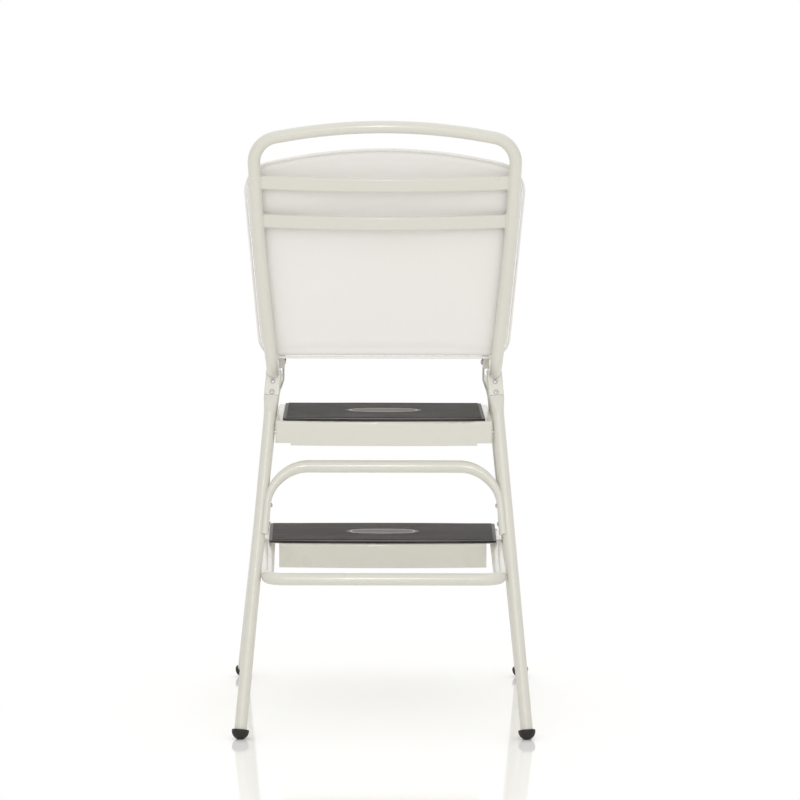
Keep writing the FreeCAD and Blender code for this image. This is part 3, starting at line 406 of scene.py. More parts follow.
def tread_rubber(name, tint, middles):
    """Dark rubber with drawn streaks along the ribs, greyed crests, sides painted near black as shade and an oval
    outline on each mat.
    """
    material, tree, shader, place = new_material(name, 0.6, Specular_IOR_Level=0.3)
    stretched = new_node(tree, "ShaderNodeMapping")
    stretched.inputs["Scale"].default_value = STREAK_STRETCH
    tree.links.new(place, stretched.inputs["Vector"])
    streak = noise(tree, stretched.outputs["Vector"], 1.0, 4.0, 0.7)
    toned = mixed(tree, remap(tree, streak, 0.35, 0.65), tint, scaled(tint, 3.2))
    split = new_node(tree, "ShaderNodeSeparateXYZ")
    tree.links.new(new_node(tree, "ShaderNodeNewGeometry").outputs["Normal"], split.inputs[0])
    # painted shade: faces that do not look up are painted near black, as the mats' sides in shade
    painted_side_shade = remap(tree, split.outputs["Z"], *PAINTED_SHADE_FACING)
    toned = mixed(tree, painted_side_shade, scaled(tint, 0.3), toned)
    worn = use_group(tree, WEAR, Amount=0.3, Scale=25.0)
    dusty = use_group(tree, DUST, Amount=0.12, Scale=14.0)
    colour = mixed(tree, worn, toned, TREAD_RUBBED)
    colour = mixed(tree, dusty, colour, TREAD_DUSTY)
    for middle in middles:
        outline = oval_outline(tree, place, middle, OVAL_LENGTH, OVAL_DEPTH, OVAL_LINE)
        colour = mixed(tree, outline, colour, OVAL_GREY)
    tree.links.new(colour, shader.inputs["Base Color"])
    tree.links.new(remap(tree, streak, 0.3, 0.7, 0.5, 0.7), shader.inputs["Roughness"])
    tree.links.new(bumped(tree, streak, 0.3, STREAK_DEPTH), shader.inputs["Normal"])
    return material


MATERIALS["step_rubber"] = tread_rubber("tread rubber", TREAD_TINT, MAT_MIDDLES)
print("treads", MATERIALS["step_rubber"].name)

# %% [markdown]
# ## Rubber of the feet and the seat's bumpers
# The tips and bumpers are moulded black rubber with a powdery bloom. Plain black would look like a
# hole in the picture, so noise greys it, the edges are rubbed, and fine pits break the gloss.

# %% Moulded rubber
FOOT_TINT = (0.014, 0.013, 0.010)
BUMPER_TINT = (0.03, 0.03, 0.028)
RUBBER_RUBBED = (0.12, 0.115, 0.105)
PIT_SCALE = 900.0
PIT_DEPTH = 0.3 * MM


def plain_rubber(name, tint):
    """Moulded rubber: a slight bloom, rubbed edges and fine pits."""
    material, tree, shader, place = new_material(name, 0.58, Specular_IOR_Level=0.4)
    bloom = remap(tree, noise(tree, place, 26.0, 6.0), 0.35, 0.72)
    worn = use_group(tree, WEAR, Amount=0.3, Scale=90.0)
    colour = mixed(tree, bloom, tint, scaled(tint, 1.5))
    tree.links.new(mixed(tree, worn, colour, RUBBER_RUBBED), shader.inputs["Base Color"])
    tree.links.new(remap(tree, bloom, 0.0, 1.0, 0.45, 0.66), shader.inputs["Roughness"])
    tree.links.new(bumped(tree, noise(tree, place, PIT_SCALE, 2.0), 0.2, PIT_DEPTH), shader.inputs["Normal"])
    return material


MATERIALS["foot_rubber"] = plain_rubber("foot rubber", FOOT_TINT)
MATERIALS["bumper_rubber"] = plain_rubber("bumper rubber", BUMPER_TINT)
print("rubbers", MATERIALS["foot_rubber"].name, MATERIALS["bumper_rubber"].name)

# %% [markdown]
# ## Bare ply of the seat's board
# Under the seat the board is left bare. Wood can be painted with a wave texture, but that gives even
# stripes like card. Noise that is stretched along the grain gives a figure that wanders, and a finer
# one the dark pores.

# %% Board
PLY_PALE = (0.50, 0.37, 0.24)
PLY_BROWN = (0.43, 0.31, 0.195)
PLY_PORE = (0.27, 0.18, 0.105)
PLY_STRETCH = (3.0, 60.0, 60.0)
PORE_DEPTH = 0.6 * MM


def board_wood(name):
    """Bare ply: long grain with pores and darker streaks."""
    material, tree, shader, place = new_material(name, 0.62)
    stretched = new_node(tree, "ShaderNodeMapping")
    stretched.inputs["Scale"].default_value = PLY_STRETCH
    tree.links.new(place, stretched.inputs["Vector"])
    figure = noise(tree, stretched.outputs["Vector"], 0.45, 6.0, 0.6)
    pores = noise(tree, stretched.outputs["Vector"], 9.0, 5.0)
    grain = mixed(tree, remap(tree, figure, 0.3, 0.7), PLY_PALE, PLY_BROWN)
    tree.links.new(mixed(tree, remap(tree, pores, 0.6, 0.8), grain, PLY_PORE), shader.inputs["Base Color"])
    tree.links.new(bumped(tree, pores, 0.25, PORE_DEPTH), shader.inputs["Normal"])
    return material


MATERIALS["board"] = board_wood("seat board")
print("board", MATERIALS["board"].name)

# %% [markdown]
# ## Plated steel and end plugs
# Rivets, screws, pins and staples are zinc-plated: metal with a faint mottle in colour and gloss. The
# open tube ends are closed by satin plastic plugs with a fine texture from their mould. Scratches and
# stains could be added, but these pieces are so small that a noise or two is all that shows.

# %% Plated steel
ZINC_PALE = (0.56, 0.57, 0.58)
ZINC_GREY = (0.42, 0.42, 0.415)
MOTTLE_DEPTH = 0.2 * MM


def plated_steel(name):
    """Zinc-plated steel: a faint mottle in colour and gloss."""
    material, tree, shader, place = new_material(name, 0.3, Metallic=1.0)
    mottle = noise(tree, place, 180.0, 5.0)
    tree.links.new(mixed(tree, mottle, ZINC_PALE, ZINC_GREY), shader.inputs["Base Color"])
    tree.links.new(remap(tree, mottle, 0.3, 0.7, 0.20, 0.36), shader.inputs["Roughness"])
    tree.links.new(bumped(tree, mottle, 0.1, MOTTLE_DEPTH), shader.inputs["Normal"])
    return material


MATERIALS["zinc_steel"] = plated_steel("zinc plate")
print("plate", MATERIALS["zinc_steel"].name)

# %% Plastic
PLUG_TINT = (0.69, 0.68, 0.61)
SPARK_SCALE = 1500.0
SPARK_DEPTH = 0.2 * MM


def moulded_plastic(name, tint):
    """Satin moulded plastic with spark-eroded texture and handling marks."""
    material, tree, shader, place = new_material(name, 0.45)
    marks = noise(tree, place, 70.0, 6.0)
    tree.links.new(mixed(tree, remap(tree, marks, 0.5, 0.75), tint, scaled(tint, 0.92)),
                   shader.inputs["Base Color"])
    tree.links.new(remap(tree, marks, 0.3, 0.7, 0.38, 0.55), shader.inputs["Roughness"])
    texture = noise(tree, place, SPARK_SCALE, 2.0)
    tree.links.new(bumped(tree, texture, 0.15, SPARK_DEPTH), shader.inputs["Normal"])
    return material


MATERIALS["plug_plastic"] = moulded_plastic("end plug plastic", PLUG_TINT)
print("finishes", len(MATERIALS))

# %% [markdown]
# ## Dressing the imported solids
# A rigid solid whose shape is right needs no new mesh, only its finish. The finishes could be set
# node by node, but the record says which slot each node belongs to, so one loop gives every node its
# material.

# %% Dress the nodes
for part in frame["record"]["subparts"]:
    mesh = NODES[part["node"]].data
    mesh.materials.clear()
    mesh.materials.append(MATERIALS[part["material_slot"]])

# %% [markdown]
# ## Seat geometry
# Pieces on the seat are easiest to describe lying down: x across, y forwards from the hinge and z up.
# The seat's outline is a tapered shape with rounded corners and a bowed front. It could be read off
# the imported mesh, but the few sizes that the seat is cut to give it as well, drawn in by any inset,
# and one turn about the hinge stands it up.

# %% Seat sizes
SEAT_BEHIND = 9.7 * MM
SEAT_DEPTH = 309.96 * MM
SEAT_REAR_HALF = 180 * MM
SEAT_FRONT_HALF = 204.5 * MM
SEAT_BOW_R = 710 * MM
SEAT_REAR_CORNER_R = 32 * MM
SEAT_FRONT_CORNER_R = 45 * MM
SEAT_LEAST_CORNER_R = 8 * MM
CORNER_ROOM = 1.1
BOARD_BELOW_AXIS = 3 * MM
SEAM_HEIGHT = 39 * MM
WELT_R = 1.8 * MM
BACK_LEAN = SWING - math.pi / 2
print("back leans", round(math.degrees(BACK_LEAN), 2), "degrees")

# %% Lying and standing points


def seat_place(x, y, z):
    """Point of the seat, given lying down from the hinge axis, as it stands at rest."""
    return HINGE + Vector((x, y * math.cos(SWING) - z * math.sin(SWING),
                           y * math.sin(SWING) + z * math.cos(SWING)))


def seat_local(point):
    """A standing point, given back as it lies down from the hinge axis."""
    d = point - HINGE
    return Vector((d.x, d.y * math.cos(SWING) + d.z * math.sin(SWING),
                   -d.y * math.sin(SWING) + d.z * math.cos(SWING)))


print("seat's rear edge stands at", [round(v, 4) for v in seat_place(0, SEAT_BEHIND, 0)])

# %% Seat outline


def rounded(points, radii, steps):
    """Closed outline with each corner replaced by a tangent arc."""
    outline = []
    for i, (corner, radius) in enumerate(zip(points, radii)):
        back = (points[i - 1] - corner).normalized()
        ahead = (points[(i + 1) % len(points)] - corner).normalized()
        half_turn = (math.pi - back.angle(ahead)) / 2
        bisector = (back + ahead).normalized()
        centre = corner + bisector * (radius / math.cos(half_turn))
        first = corner + back * (radius * math.tan(half_turn)) - centre
        sense = 1 if back.x * ahead.y - back.y * ahead.x < 0 else -1
        for k in range(steps + 1):
            turn = Matrix.Rotation(sense * 2 * half_turn * k / steps, 2)
            outline.append(centre + turn @ first)
    return outline


def front_corner(inset, front_x):
    """Radius of a front corner, and where the tangents of the bowed front and the side meet."""
    radius = max(SEAT_FRONT_CORNER_R - inset, SEAT_LEAST_CORNER_R)
    bow = SEAT_BOW_R - inset
    slope = math.asin((front_x - CORNER_ROOM * radius) / bow)
    apex = SEAT_BEHIND + SEAT_DEPTH - inset + bow * (1 / math.cos(slope) - 1)
    return radius, bow, apex, apex - front_x * math.tan(slope)


def seat_outline(inset, steps=10):
    """The seat's outline drawn in evenly by an inset, as points (x, y) in order."""
    full_y = front_corner(0, SEAT_FRONT_HALF)[3]
    lean = math.atan2(SEAT_FRONT_HALF - SEAT_REAR_HALF, full_y - SEAT_BEHIND)
    rear = SEAT_BEHIND + inset
    rear_x, front_x = [SEAT_REAR_HALF + (y - SEAT_BEHIND) * math.tan(lean) - inset / math.cos(lean)
                       for y in (rear, full_y - inset)]
    rear_r = max(SEAT_REAR_CORNER_R - inset, SEAT_LEAST_CORNER_R)
    front_r, bow, apex, corner_y = front_corner(inset, front_x)
    points = [Vector(p) for p in ((rear_x, rear), (front_x, corner_y), (0, apex), (-front_x, corner_y),
                                  (-rear_x, rear))]
    return rounded(points, [rear_r, front_r, bow, front_r, rear_r], steps)


print("seat outline points", len(seat_outline(0)))

# %% Even spacing


def even_points(outline, spacing):
    """Points at an even spacing round a closed outline."""
    closed = outline + outline[:1]
    lengths = [(b - a).length for a, b in zip(closed, closed[1:])]
    count = max(8, round(sum(lengths) / spacing))
    step = sum(lengths) / count
    points, run, index = [], 0.0, 0
    for k in range(count):
        target = k * step
        while run + lengths[index] < target:
            run += lengths[index]
            index += 1
        share = (target - run) / max(lengths[index], 1e-9)
        points.append(closed[index].lerp(closed[index + 1], share))
    return points


def waves(k, parts):
    """One plus a few sines, each given as height and pace: an uneven line that needs no chance."""
    return sum((height * math.sin(k * pace) for height, pace in parts), 1)


print("points 4 mm apart round the seat", len(even_points(seat_outline(0), 4 * MM)))

# %% [markdown]
# ## Helpers for new pieces
# Most added pieces are meshes made of rings of points: a hem, a bead of weld, a staple. Curves with a
# bevel could make them too, but rings keep every point in the script's hand. One helper turns points
# and faces into a piece that knows its finish and the body it moves with, one joins ring to ring, and
# one lays rings along a path.

# %% Mesh helpers
ASKEW = Vector((0.31, 0.52, 0.79))


def new_piece(name, vertices, faces, material, body):
    """Mesh piece with its finish and the body that it rides on."""
    mesh = bpy.data.meshes.new(name)
    mesh.from_pydata([tuple(v) for v in vertices], [], faces)
    mesh.update()
    for polygon in mesh.polygons:
        polygon.use_smooth = True
    piece = bpy.data.objects.new(name, mesh)
    bpy.context.scene.collection.objects.link(piece)
    mesh.materials.append(MATERIALS[material])
    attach(piece, body)
    return piece


def ring_faces(rings, points, start=0, closed=True):
    """Quads between rings of as many points; the last ring joins the first if it is closed."""
    faces = []
    for r in range(rings if closed else rings - 1):
        for p in range(points):
            q = (p + 1) % points
            s = (r + 1) % rings
            quad = (r * points + p, r * points + q, s * points + q, s * points + p)
            faces.append(tuple(start + k for k in quad))
    return faces


def add_tube(vertices, faces, path, radius_at, sides=8, closed=False):
    """Round tube along a path of points, added to the lists; its radius may change along it."""
    start = len(vertices)
    for k, point in enumerate(path):
        before = path[k - 1] if closed or k else point
        after = path[(k + 1) % len(path)] if closed or k + 1 < len(path) else point
        along = (after - before).normalized()
        aside = along.cross(ASKEW).normalized()
        third = along.cross(aside)
        radius = radius_at(k / max(1, len(path) - 1))
        for side in range(sides):
            turn = 2 * math.pi * side / sides
            vertices.append(point + (aside * math.cos(turn) + third * math.sin(turn)) * radius)
    faces += ring_faces(len(path), sides, start, closed)
    if not closed:
        last = start + (len(path) - 1) * sides
        faces.append(tuple(range(start, start + sides))[::-1])
        faces.append(tuple(range(last, last + sides)))


print("mesh helpers ready")

# %% [markdown]
# ## Seat pad
# The real pad is a slab of foam under a vinyl cover, pulled tight to the piped seam all round. It
# could be drawn as a smooth swollen block, but a cover under tension swells between its seams and
# tucks in beside them. So the pad starts from the solid's own form, is remeshed evenly, and is blown
# up a little as cloth with its seam and underside held.

# %% Pad sizes
PAD_VOXEL = 4.0 * MM
PAD_PRESSURE = 4.0
PAD_FRAMES = 20
PAD_CAP = 2.0 * MM
PAD_HELD = 3.5 * MM
PAD_UNDERSIDE = 6 * MM
PAD_TENSION = 25
PAD_BENDING = 2
PAD_SMOOTHING = 4
print("pad swells by at most", round(PAD_CAP / MM, 1), "mm")

# %% Start of the pad


def pad_start():
    """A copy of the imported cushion's mesh, in its vinyl."""
    source = NODES["seat_cushion"].data.copy()
    pad = bpy.data.objects.new("seat_pad", source)
    bpy.context.scene.collection.objects.link(pad)
    source.materials.clear()
    source.materials.append(MATERIALS["seat_vinyl"])
    return pad


def apply_modifiers(piece):
    """Keep what a piece's modifiers make of its mesh."""
    graph = bpy.context.evaluated_depsgraph_get()
    graph.update()
    mesh = bpy.data.meshes.new_from_object(piece.evaluated_get(graph))
    piece.modifiers.clear()
    piece.data = mesh


print("pad starts from", len(NODES["seat_cushion"].data.vertices), "points")

# %% Cloth under pressure


def inflate(pad):
    """Cloth under pressure with the seam and underside held, each point moved by at most the cap."""
    start = [v.co.copy() for v in pad.data.vertices]
    held = pad.vertex_groups.new(name="held")
    for vertex in pad.data.vertices:
        local = seat_local(vertex.co)
        near_seam = abs(local.z - SEAM_HEIGHT) < PAD_HELD
        held.add([vertex.index], 1.0 if near_seam or local.z < PAD_UNDERSIDE else 0.0, "REPLACE")
    cloth = pad.modifiers.new("cloth", "CLOTH")
    cloth.settings.use_pressure = True
    cloth.settings.uniform_pressure_force = PAD_PRESSURE
    cloth.settings.vertex_group_mass = "held"
    cloth.settings.effector_weights.gravity = 0
    cloth.settings.tension_stiffness = PAD_TENSION
    cloth.settings.bending_stiffness = PAD_BENDING
    cloth.collision_settings.use_collision = False
    cloth.point_cache.frame_end = PAD_FRAMES
    for step in range(1, PAD_FRAMES + 1):
        bpy.context.scene.frame_set(step)
    apply_modifiers(pad)
    for vertex, before in zip(pad.data.vertices, start):
        move = vertex.co - before
        if move.length > PAD_CAP:
            vertex.co = before + move * (PAD_CAP / move.length)
    bpy.context.scene.frame_set(1)


print("cloth runs for", PAD_FRAMES, "frames")

# %% [markdown]
# ## The pad's seam
# Remeshing and smoothing round the cover off just where it should be crisp. A finer mesh would keep
# the seam, but would weigh far more. So points near the seam go back to the solid's surface, and a
# shallow uneven crease gathers the vinyl beside the piping.

# %% Back to the seam
SEAM_REACH = 16 * MM
SEAM_SPACING = 3 * MM
CREASE_WIDTH = 3.0 * MM
CREASE_DEPTH = 0.5 * MM
GATHER_WAVES = ((0.5, 1.9), (0.3, 0.83))


def meet_seam(pad):
    """Bring the cover back to the seam all round, then gather it a little beside the piping."""
    form = NODES["seat_cushion"].data
    surface = BVHTree.FromPolygons([v.co for v in form.vertices], [p.vertices for p in form.polygons])
    seam = [Vector((p.x, p.y, SEAM_HEIGHT)) for p in even_points(seat_outline(WELT_R), SEAM_SPACING)]
    tree = KDTree(len(seam))
    for k, point in enumerate(seam):
        tree.insert(point, k)
    tree.balance()
    for vertex in pad.data.vertices:
        point, k, distance = tree.find(seat_local(vertex.co))
        if distance > SEAM_REACH:
            continue
        share = (1 - distance / SEAM_REACH) ** 0.5
        vertex.co = vertex.co.lerp(surface.find_nearest(vertex.co)[0], share)
        near = math.exp(-((distance - 2 * WELT_R) / CREASE_WIDTH) ** 2)
        inward = seat_place(0, SEAT_BEHIND + SEAT_DEPTH / 2, SEAM_HEIGHT / 2) - vertex.co
        vertex.co += inward.normalized() * (CREASE_DEPTH * near * waves(k, GATHER_WAVES))


print("seam points", len(even_points(seat_outline(WELT_R), SEAM_SPACING)))

# %% Pad


def seat_pad():
    """Remeshed, blown up, smoothed and brought back to its seam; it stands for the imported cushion."""
    pad = pad_start()
    remesh = pad.modifiers.new("even", "REMESH")
    remesh.mode = "VOXEL"
    remesh.voxel_size = PAD_VOXEL
    apply_modifiers(pad)
    inflate(pad)
    smooth = pad.modifiers.new("soft", "SMOOTH")
    smooth.iterations = PAD_SMOOTHING
    apply_modifiers(pad)
    fine = pad.modifiers.new("fine", "SUBSURF")
    fine.levels = 1
    fine.render_levels = 1
    apply_modifiers(pad)
    meet_seam(pad)
    for polygon in pad.data.polygons:
        polygon.use_smooth = True
    pad.vertex_groups.clear()
    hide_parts("seat_cushion")
    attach(pad, "seat")
    return pad


PAD = seat_pad()
print("pad vertices", len(PAD.data.vertices))

# %% [markdown]
# ## Hem round the board
# Upholstery vinyl is pulled round a board and stapled to its underside, and with this seat up that
# side faces the front. The pad's own mesh could be drawn on under the board, but it is far too coarse
# for a thin turned edge. So the hem is a band of its own, made of rings: it starts up the board's side,
# turns under it and ends in a slightly wavy cut.

# %% Hem
HEM_START = 12.4 * MM
HEM_WIDTH = 26 * MM
HEM_THICK = 0.8 * MM
HEM_SPACING = 4 * MM
HEM_TURN = 6 * MM
HEM_TURN_SPREAD = 2.8 * MM
HEM_WAVES = ((0.02, 0.85), (0.025, 0.31))


def outward_at(ring, k, middle):
    """Unit direction square to a closed ring at one of its points, away from its middle."""
    along = (ring[(k + 1) % len(ring)] - ring[k - 1]).normalized()
    out = Vector((along.y, -along.x))
    return out if out.dot(ring[k] - middle) > 0 else -out


def seat_hem():
    """Cover turned round the board's edge and under it: a thin band with a slightly wavy cut edge."""
    outer = even_points(seat_outline(HEM_START), HEM_SPACING)
    middle = Vector((0, SEAT_BEHIND + SEAT_DEPTH / 2))
    out = [outward_at(outer, k, middle) for k in range(len(outer))]
    side = [point + way * HEM_TURN_SPREAD for point, way in zip(outer, out)]
    side_in = [point + way * (HEM_TURN_SPREAD - HEM_THICK) for point, way in zip(outer, out)]
    edge_in = [point - way * HEM_THICK for point, way in zip(outer, out)]
    inner = []
    for k, point in enumerate(outer):
        inner.append(point + (middle - point).normalized() * (HEM_WIDTH * waves(k, HEM_WAVES)))
    top = -BOARD_BELOW_AXIS
    low = top - HEM_THICK
    rings = ((side, top + HEM_TURN), (outer, top), (outer, low), (inner, low), (inner, top),
             (edge_in, top), (side_in, top + HEM_TURN))
    vertices = [seat_place(p.x, p.y, z) for ring, z in rings for p in ring]
    return new_piece("seat_hem", vertices, ring_faces(len(rings), len(outer)), "seat_vinyl", "seat")


HEM = seat_hem()
print("hem points", len(HEM.data.vertices))

# %% [markdown]
# ## Staples
# Each staple is a short wire bridge pressed through the hem. One could be modelled and copied, but a
# loop that bends each one from the same few corners lets every staple sit a little askew, as a hand
# tool leaves them.

# %% Staples
STAPLE_LINE = 27 * MM
STAPLE_PITCH = 26 * MM
STAPLE_CROWN = 10 * MM
STAPLE_WIRE_R = 0.55 * MM
STAPLE_RISE = 0.5 * MM
STAPLE_SKEW = 0.22
STAPLE_BENDS = ((-0.5, -0.4), (-0.5, 0.7), (-0.44, 1.0), (0.44, 1.0), (0.5, 0.7), (0.5, -0.4))
ARM_LEAF_FROM = 118 * MM
ARM_LEAF_TO = 152 * MM
ARM_LEAF_END = 100 * MM


def under_arm(point):
    """Whether a hinge arm covers this point of the hem."""
    return ARM_LEAF_FROM < abs(point.x) < ARM_LEAF_TO and point.y < ARM_LEAF_END


def staples():
    """Wire bridges along the hem, each a little askew; none where an arm covers the hem."""
    vertices, faces = [], []
    line = even_points(seat_outline(STAPLE_LINE), STAPLE_PITCH)
    low = -BOARD_BELOW_AXIS - HEM_THICK
    for k, point in enumerate(line):
        if under_arm(point):
            continue
        along = (line[(k + 1) % len(line)] - line[k - 1]).normalized()
        along = Matrix.Rotation(STAPLE_SKEW * math.sin(k * 2.3), 2) @ along
        path = []
        for share, drop in STAPLE_BENDS:
            spot = point + along * (STAPLE_CROWN * share)
            path.append(seat_place(spot.x, spot.y, low - STAPLE_RISE * drop))
        add_tube(vertices, faces, path, lambda share: STAPLE_WIRE_R, sides=6)
    return new_piece("seat_staples", vertices, faces, "zinc_steel", "seat")


STAPLES = staples()
print("staple points", len(STAPLES.data.vertices))

# %% [markdown]
# ## Weld beads
# The slats, the tabs and the hinge brackets are welded to the tube before it is enamelled, which
# leaves a soft rippled bead in each corner. A bump in the material would not break the outline, so
# each bead is a mesh along the line where two solids meet. Rays cast along one solid on to the other
# find that line, so the bead sits where the real one would.

# %% Finding the tube's surface
BEAD_R = 1.5 * MM
BEAD_RIPPLE = 0.16
BEAD_LIFT = 0.25 * MM
BEAD_END = 0.45
BEAD_TAPER = 6
RAY_REACH = 60 * MM
HOOP_TREE = BVHTree.FromObject(NODES["back_hoop"], bpy.context.evaluated_depsgraph_get())


def on_hoop(start, direction):
    """Where a ray first meets the hoop's tube, or nothing."""
    return HOOP_TREE.ray_cast(start, direction.normalized(), RAY_REACH)[0]


def bead_radius(ripples):
    """Radius of a bead along its run: ripples on it and tapered ends."""
    def radius(share):
        taper = min(1.0, BEAD_END + BEAD_TAPER * min(share, 1 - share))
        return BEAD_R * taper * (1 + BEAD_RIPPLE * math.sin(share * ripples * 2 * math.pi))
    return radius


print("hoop surface ready for beads")

# %% Slat welds
SLAT_HALF_HEIGHT = 10 * MM
SLAT_HALF_THICK = 3.25 * MM
SLAT_END_ZONE = 8 * MM
SLAT_RIPPLES = 12


def slat_end(name, side):
    """Middle of a slat's end, from its own mesh."""
    reach = max(abs(v.co.x) for v in NODES[name].data.vertices)
    near = [v.co for v in NODES[name].data.vertices if v.co.x * side > reach - SLAT_END_ZONE]
    middle = [(min(p[axis] for p in near) + max(p[axis] for p in near)) / 2 for axis in (1, 2)]
    return Vector((side * (reach - 2 * SLAT_END_ZONE), *middle))


def slat_weld_path(name, side, steps=40):
    """Closed line round a slat's end where it runs into the tube."""
    middle = slat_end(name, side)
    along = Vector((0, -math.sin(BACK_LEAN), math.cos(BACK_LEAN)))
    across = Vector((0, math.cos(BACK_LEAN), math.sin(BACK_LEAN)))
    flat = SLAT_HALF_HEIGHT - SLAT_HALF_THICK
    path = []
    for k in range(steps):
        turn = 2 * math.pi * k / steps
        rise = math.sin(turn)
        up = (SLAT_HALF_THICK + BEAD_LIFT) * rise + math.copysign(flat, rise) * min(1.0, abs(rise) * 3)
        out = (SLAT_HALF_THICK + BEAD_LIFT) * math.cos(turn)
        hit = on_hoop(middle + along * up + across * out, Vector((side, 0, 0)))
        if hit is not None:
            path.append(hit)
    return path


def slat_welds():
    """A closed bead round both ends of both slats."""
    vertices, faces = [], []
    for name in ("upper_slat", "lower_slat"):
        for side in (-1, 1):
            path = slat_weld_path(name, side)
            add_tube(vertices, faces, path, bead_radius(SLAT_RIPPLES), closed=True)
    return new_piece("slat_welds", vertices, faces, "frame_paint", "frame")


SLAT_WELDS = slat_welds()
print("slat weld points", len(SLAT_WELDS.data.vertices))

# %% [markdown]
# ## Bracket and tab welds
# These beads are short and straight. The same rays find the tube beside each foot or under each bend,
# from a row of starts along the edge that is welded.

# %% Straight weld
RIPPLE_POINTS = 2.5
LEAST_POINTS = 5


def straight_weld(vertices, faces, starts, direction):
    """Bead along the places where rays from a row of starts meet the tube."""
    path = [hit for hit in (on_hoop(start, direction) for start in starts) if hit is not None]
    if len(path) >= LEAST_POINTS:
        add_tube(vertices, faces, path, bead_radius(len(path) / RIPPLE_POINTS))


def row(first, last, steps=14):
    """Evenly spaced points from one place to another."""
    return [first.lerp(last, k / steps) for k in range(steps + 1)]


print("a bead has a ripple every", RIPPLE_POINTS, "points")

# %% Bracket and tab welds


def bracket_welds():
    """Beads along both long edges of each hinge bracket's foot, down on the rail."""
    vertices, faces = [], []
    for name in ("hinge_bracket_left", "hinge_bracket_right"):
        low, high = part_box(name)
        for x in (low[0] - BEAD_LIFT, high[0] + BEAD_LIFT):
            starts = row(Vector((x, low[1] + BEAD_R, high[2])), Vector((x, high[1] - BEAD_R, high[2])))
            straight_weld(vertices, faces, starts, Vector((0, 0, -1)))
    return new_piece("bracket_welds", vertices, faces, "frame_paint", "frame")


def tab_welds():
    """Beads across the top of each tab, where it runs up into the bend of the rail."""
    vertices, faces = [], []
    for name in ("leg_tab_left", "leg_tab_right"):
        low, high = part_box(name)
        y = high[1] + BEAD_LIFT
        z = (low[2] + high[2]) / 2
        starts = row(Vector((low[0] + 2 * BEAD_R, y, z)), Vector((high[0] - 2 * BEAD_R, y, z)))
        straight_weld(vertices, faces, starts, Vector((0, 0, 1)))
    return new_piece("tab_welds", vertices, faces, "frame_paint", "frame")


BRACKET_WELDS = bracket_welds()
TAB_WELDS = tab_welds()
print("bracket and tab weld points", len(BRACKET_WELDS.data.vertices), len(TAB_WELDS.data.vertices))

# %% [markdown]
# ## Studio floor
# The chair stands on a sheet of white acrylic in a white studio. Near the chair the sheet is faintly
# warm and mirrors the legs; further out the photograph burns out to white. Making the whole floor
# brighter would flood the chair with light, so only rays from the camera, or seen in a gloss, find
# white out there.

# %% Floor
FLOOR_SIZE = 30.0
FLOOR_NEAR = (0.0, -0.1, 0.0)
FLOOR_STRETCH = (1.5, 0.6, 1.0)
FLOOR_WARM = (0.99, 0.982, 0.955)
FLOOR_WHITE_FROM = 0.35
FLOOR_WHITE_TO = 0.85
FLOOR_LEAST_WHITE = 0.05


def seen_rays(tree):
    """One for rays from the camera or from a glossy or clear surface."""
    ray = tree.nodes.new("ShaderNodeLightPath")
    seen = maths(tree, "MAXIMUM", ray.outputs["Is Camera Ray"], ray.outputs["Is Glossy Ray"])
    return maths(tree, "MAXIMUM", seen, ray.outputs["Is Transmission Ray"])


def floor_sheet():
    """Glossy warm-white sheet near the chair that turns to plain white further out."""
    material, tree, shader, place = new_material("floor sheet", 0.07)
    moved = new_node(tree, "ShaderNodeMapping")
    moved.inputs["Location"].default_value = tuple(-a * b for a, b in zip(FLOOR_NEAR, FLOOR_STRETCH))
    moved.inputs["Scale"].default_value = FLOOR_STRETCH
    tree.links.new(place, moved.inputs["Vector"])
    reach = new_node(tree, "ShaderNodeVectorMath", operation="LENGTH")
    tree.links.new(moved.outputs["Vector"], reach.inputs[0])
    far = new_node(tree, "ShaderNodeMapRange", interpolation_type="SMOOTHSTEP")
    far.inputs["From Min"].default_value = FLOOR_WHITE_FROM
    far.inputs["From Max"].default_value = FLOOR_WHITE_TO
    far.inputs["To Min"].default_value = FLOOR_LEAST_WHITE
    tree.links.new(reach.outputs["Value"], far.inputs["Value"])
    cloud = noise(tree, place, 0.8, 3.0)
    toned = mixed(tree, cloud, FLOOR_WARM, scaled(FLOOR_WARM, 0.985))
    tree.links.new(toned, shader.inputs["Base Color"])
    tree.links.new(remap(tree, cloud, 0.3, 0.7, 0.06, 0.09), shader.inputs["Roughness"])
    white = tree.nodes.new("ShaderNodeEmission")
    blend = tree.nodes.new("ShaderNodeMixShader")
    tree.links.new(maths(tree, "MULTIPLY", far.outputs["Result"], seen_rays(tree)), blend.inputs["Fac"])
    tree.links.new(shader.outputs["BSDF"], blend.inputs[1])
    tree.links.new(white.outputs["Emission"], blend.inputs[2])
    tree.links.new(blend.outputs["Shader"], tree.nodes["Material Output"].inputs["Surface"])
    return material


def studio_floor():
    """One large square on the ground, part of the stage and not of the chair."""
    mesh = bpy.data.meshes.new("floor")
    corners = [(x * FLOOR_SIZE, y * FLOOR_SIZE, 0) for x, y in ((-1, -1), (1, -1), (1, 1), (-1, 1))]
    mesh.from_pydata(corners, [], [(0, 1, 2, 3)])
    floor = bpy.data.objects.new("floor", mesh)
    bpy.context.scene.collection.objects.link(floor)
    mesh.materials.append(floor_sheet())
    return floor


FLOOR = studio_floor()
print("floor", FLOOR.name)

# %% [markdown]
# ## Light
# The tubes show one thin bright line down their middle and slightly darker edges. That comes from a
# tall narrow lamp above the camera and from white walls in front and behind, with dimmer sides. A
# photographed studio round the scene would do it too, but a few numbers are easier to change. So the
# world is bright ahead, behind and overhead and dims towards the sides, and one strip lamp draws the
# lines. The camera itself sees plain white.

# %% World
WORLD_FRONT = 1.06
WORLD_SIDE = 0.66
WORLD_TOP = 1.1
WORLD_WHITE = 1.0
WORLD_DIMS = (0.35, 1.0)


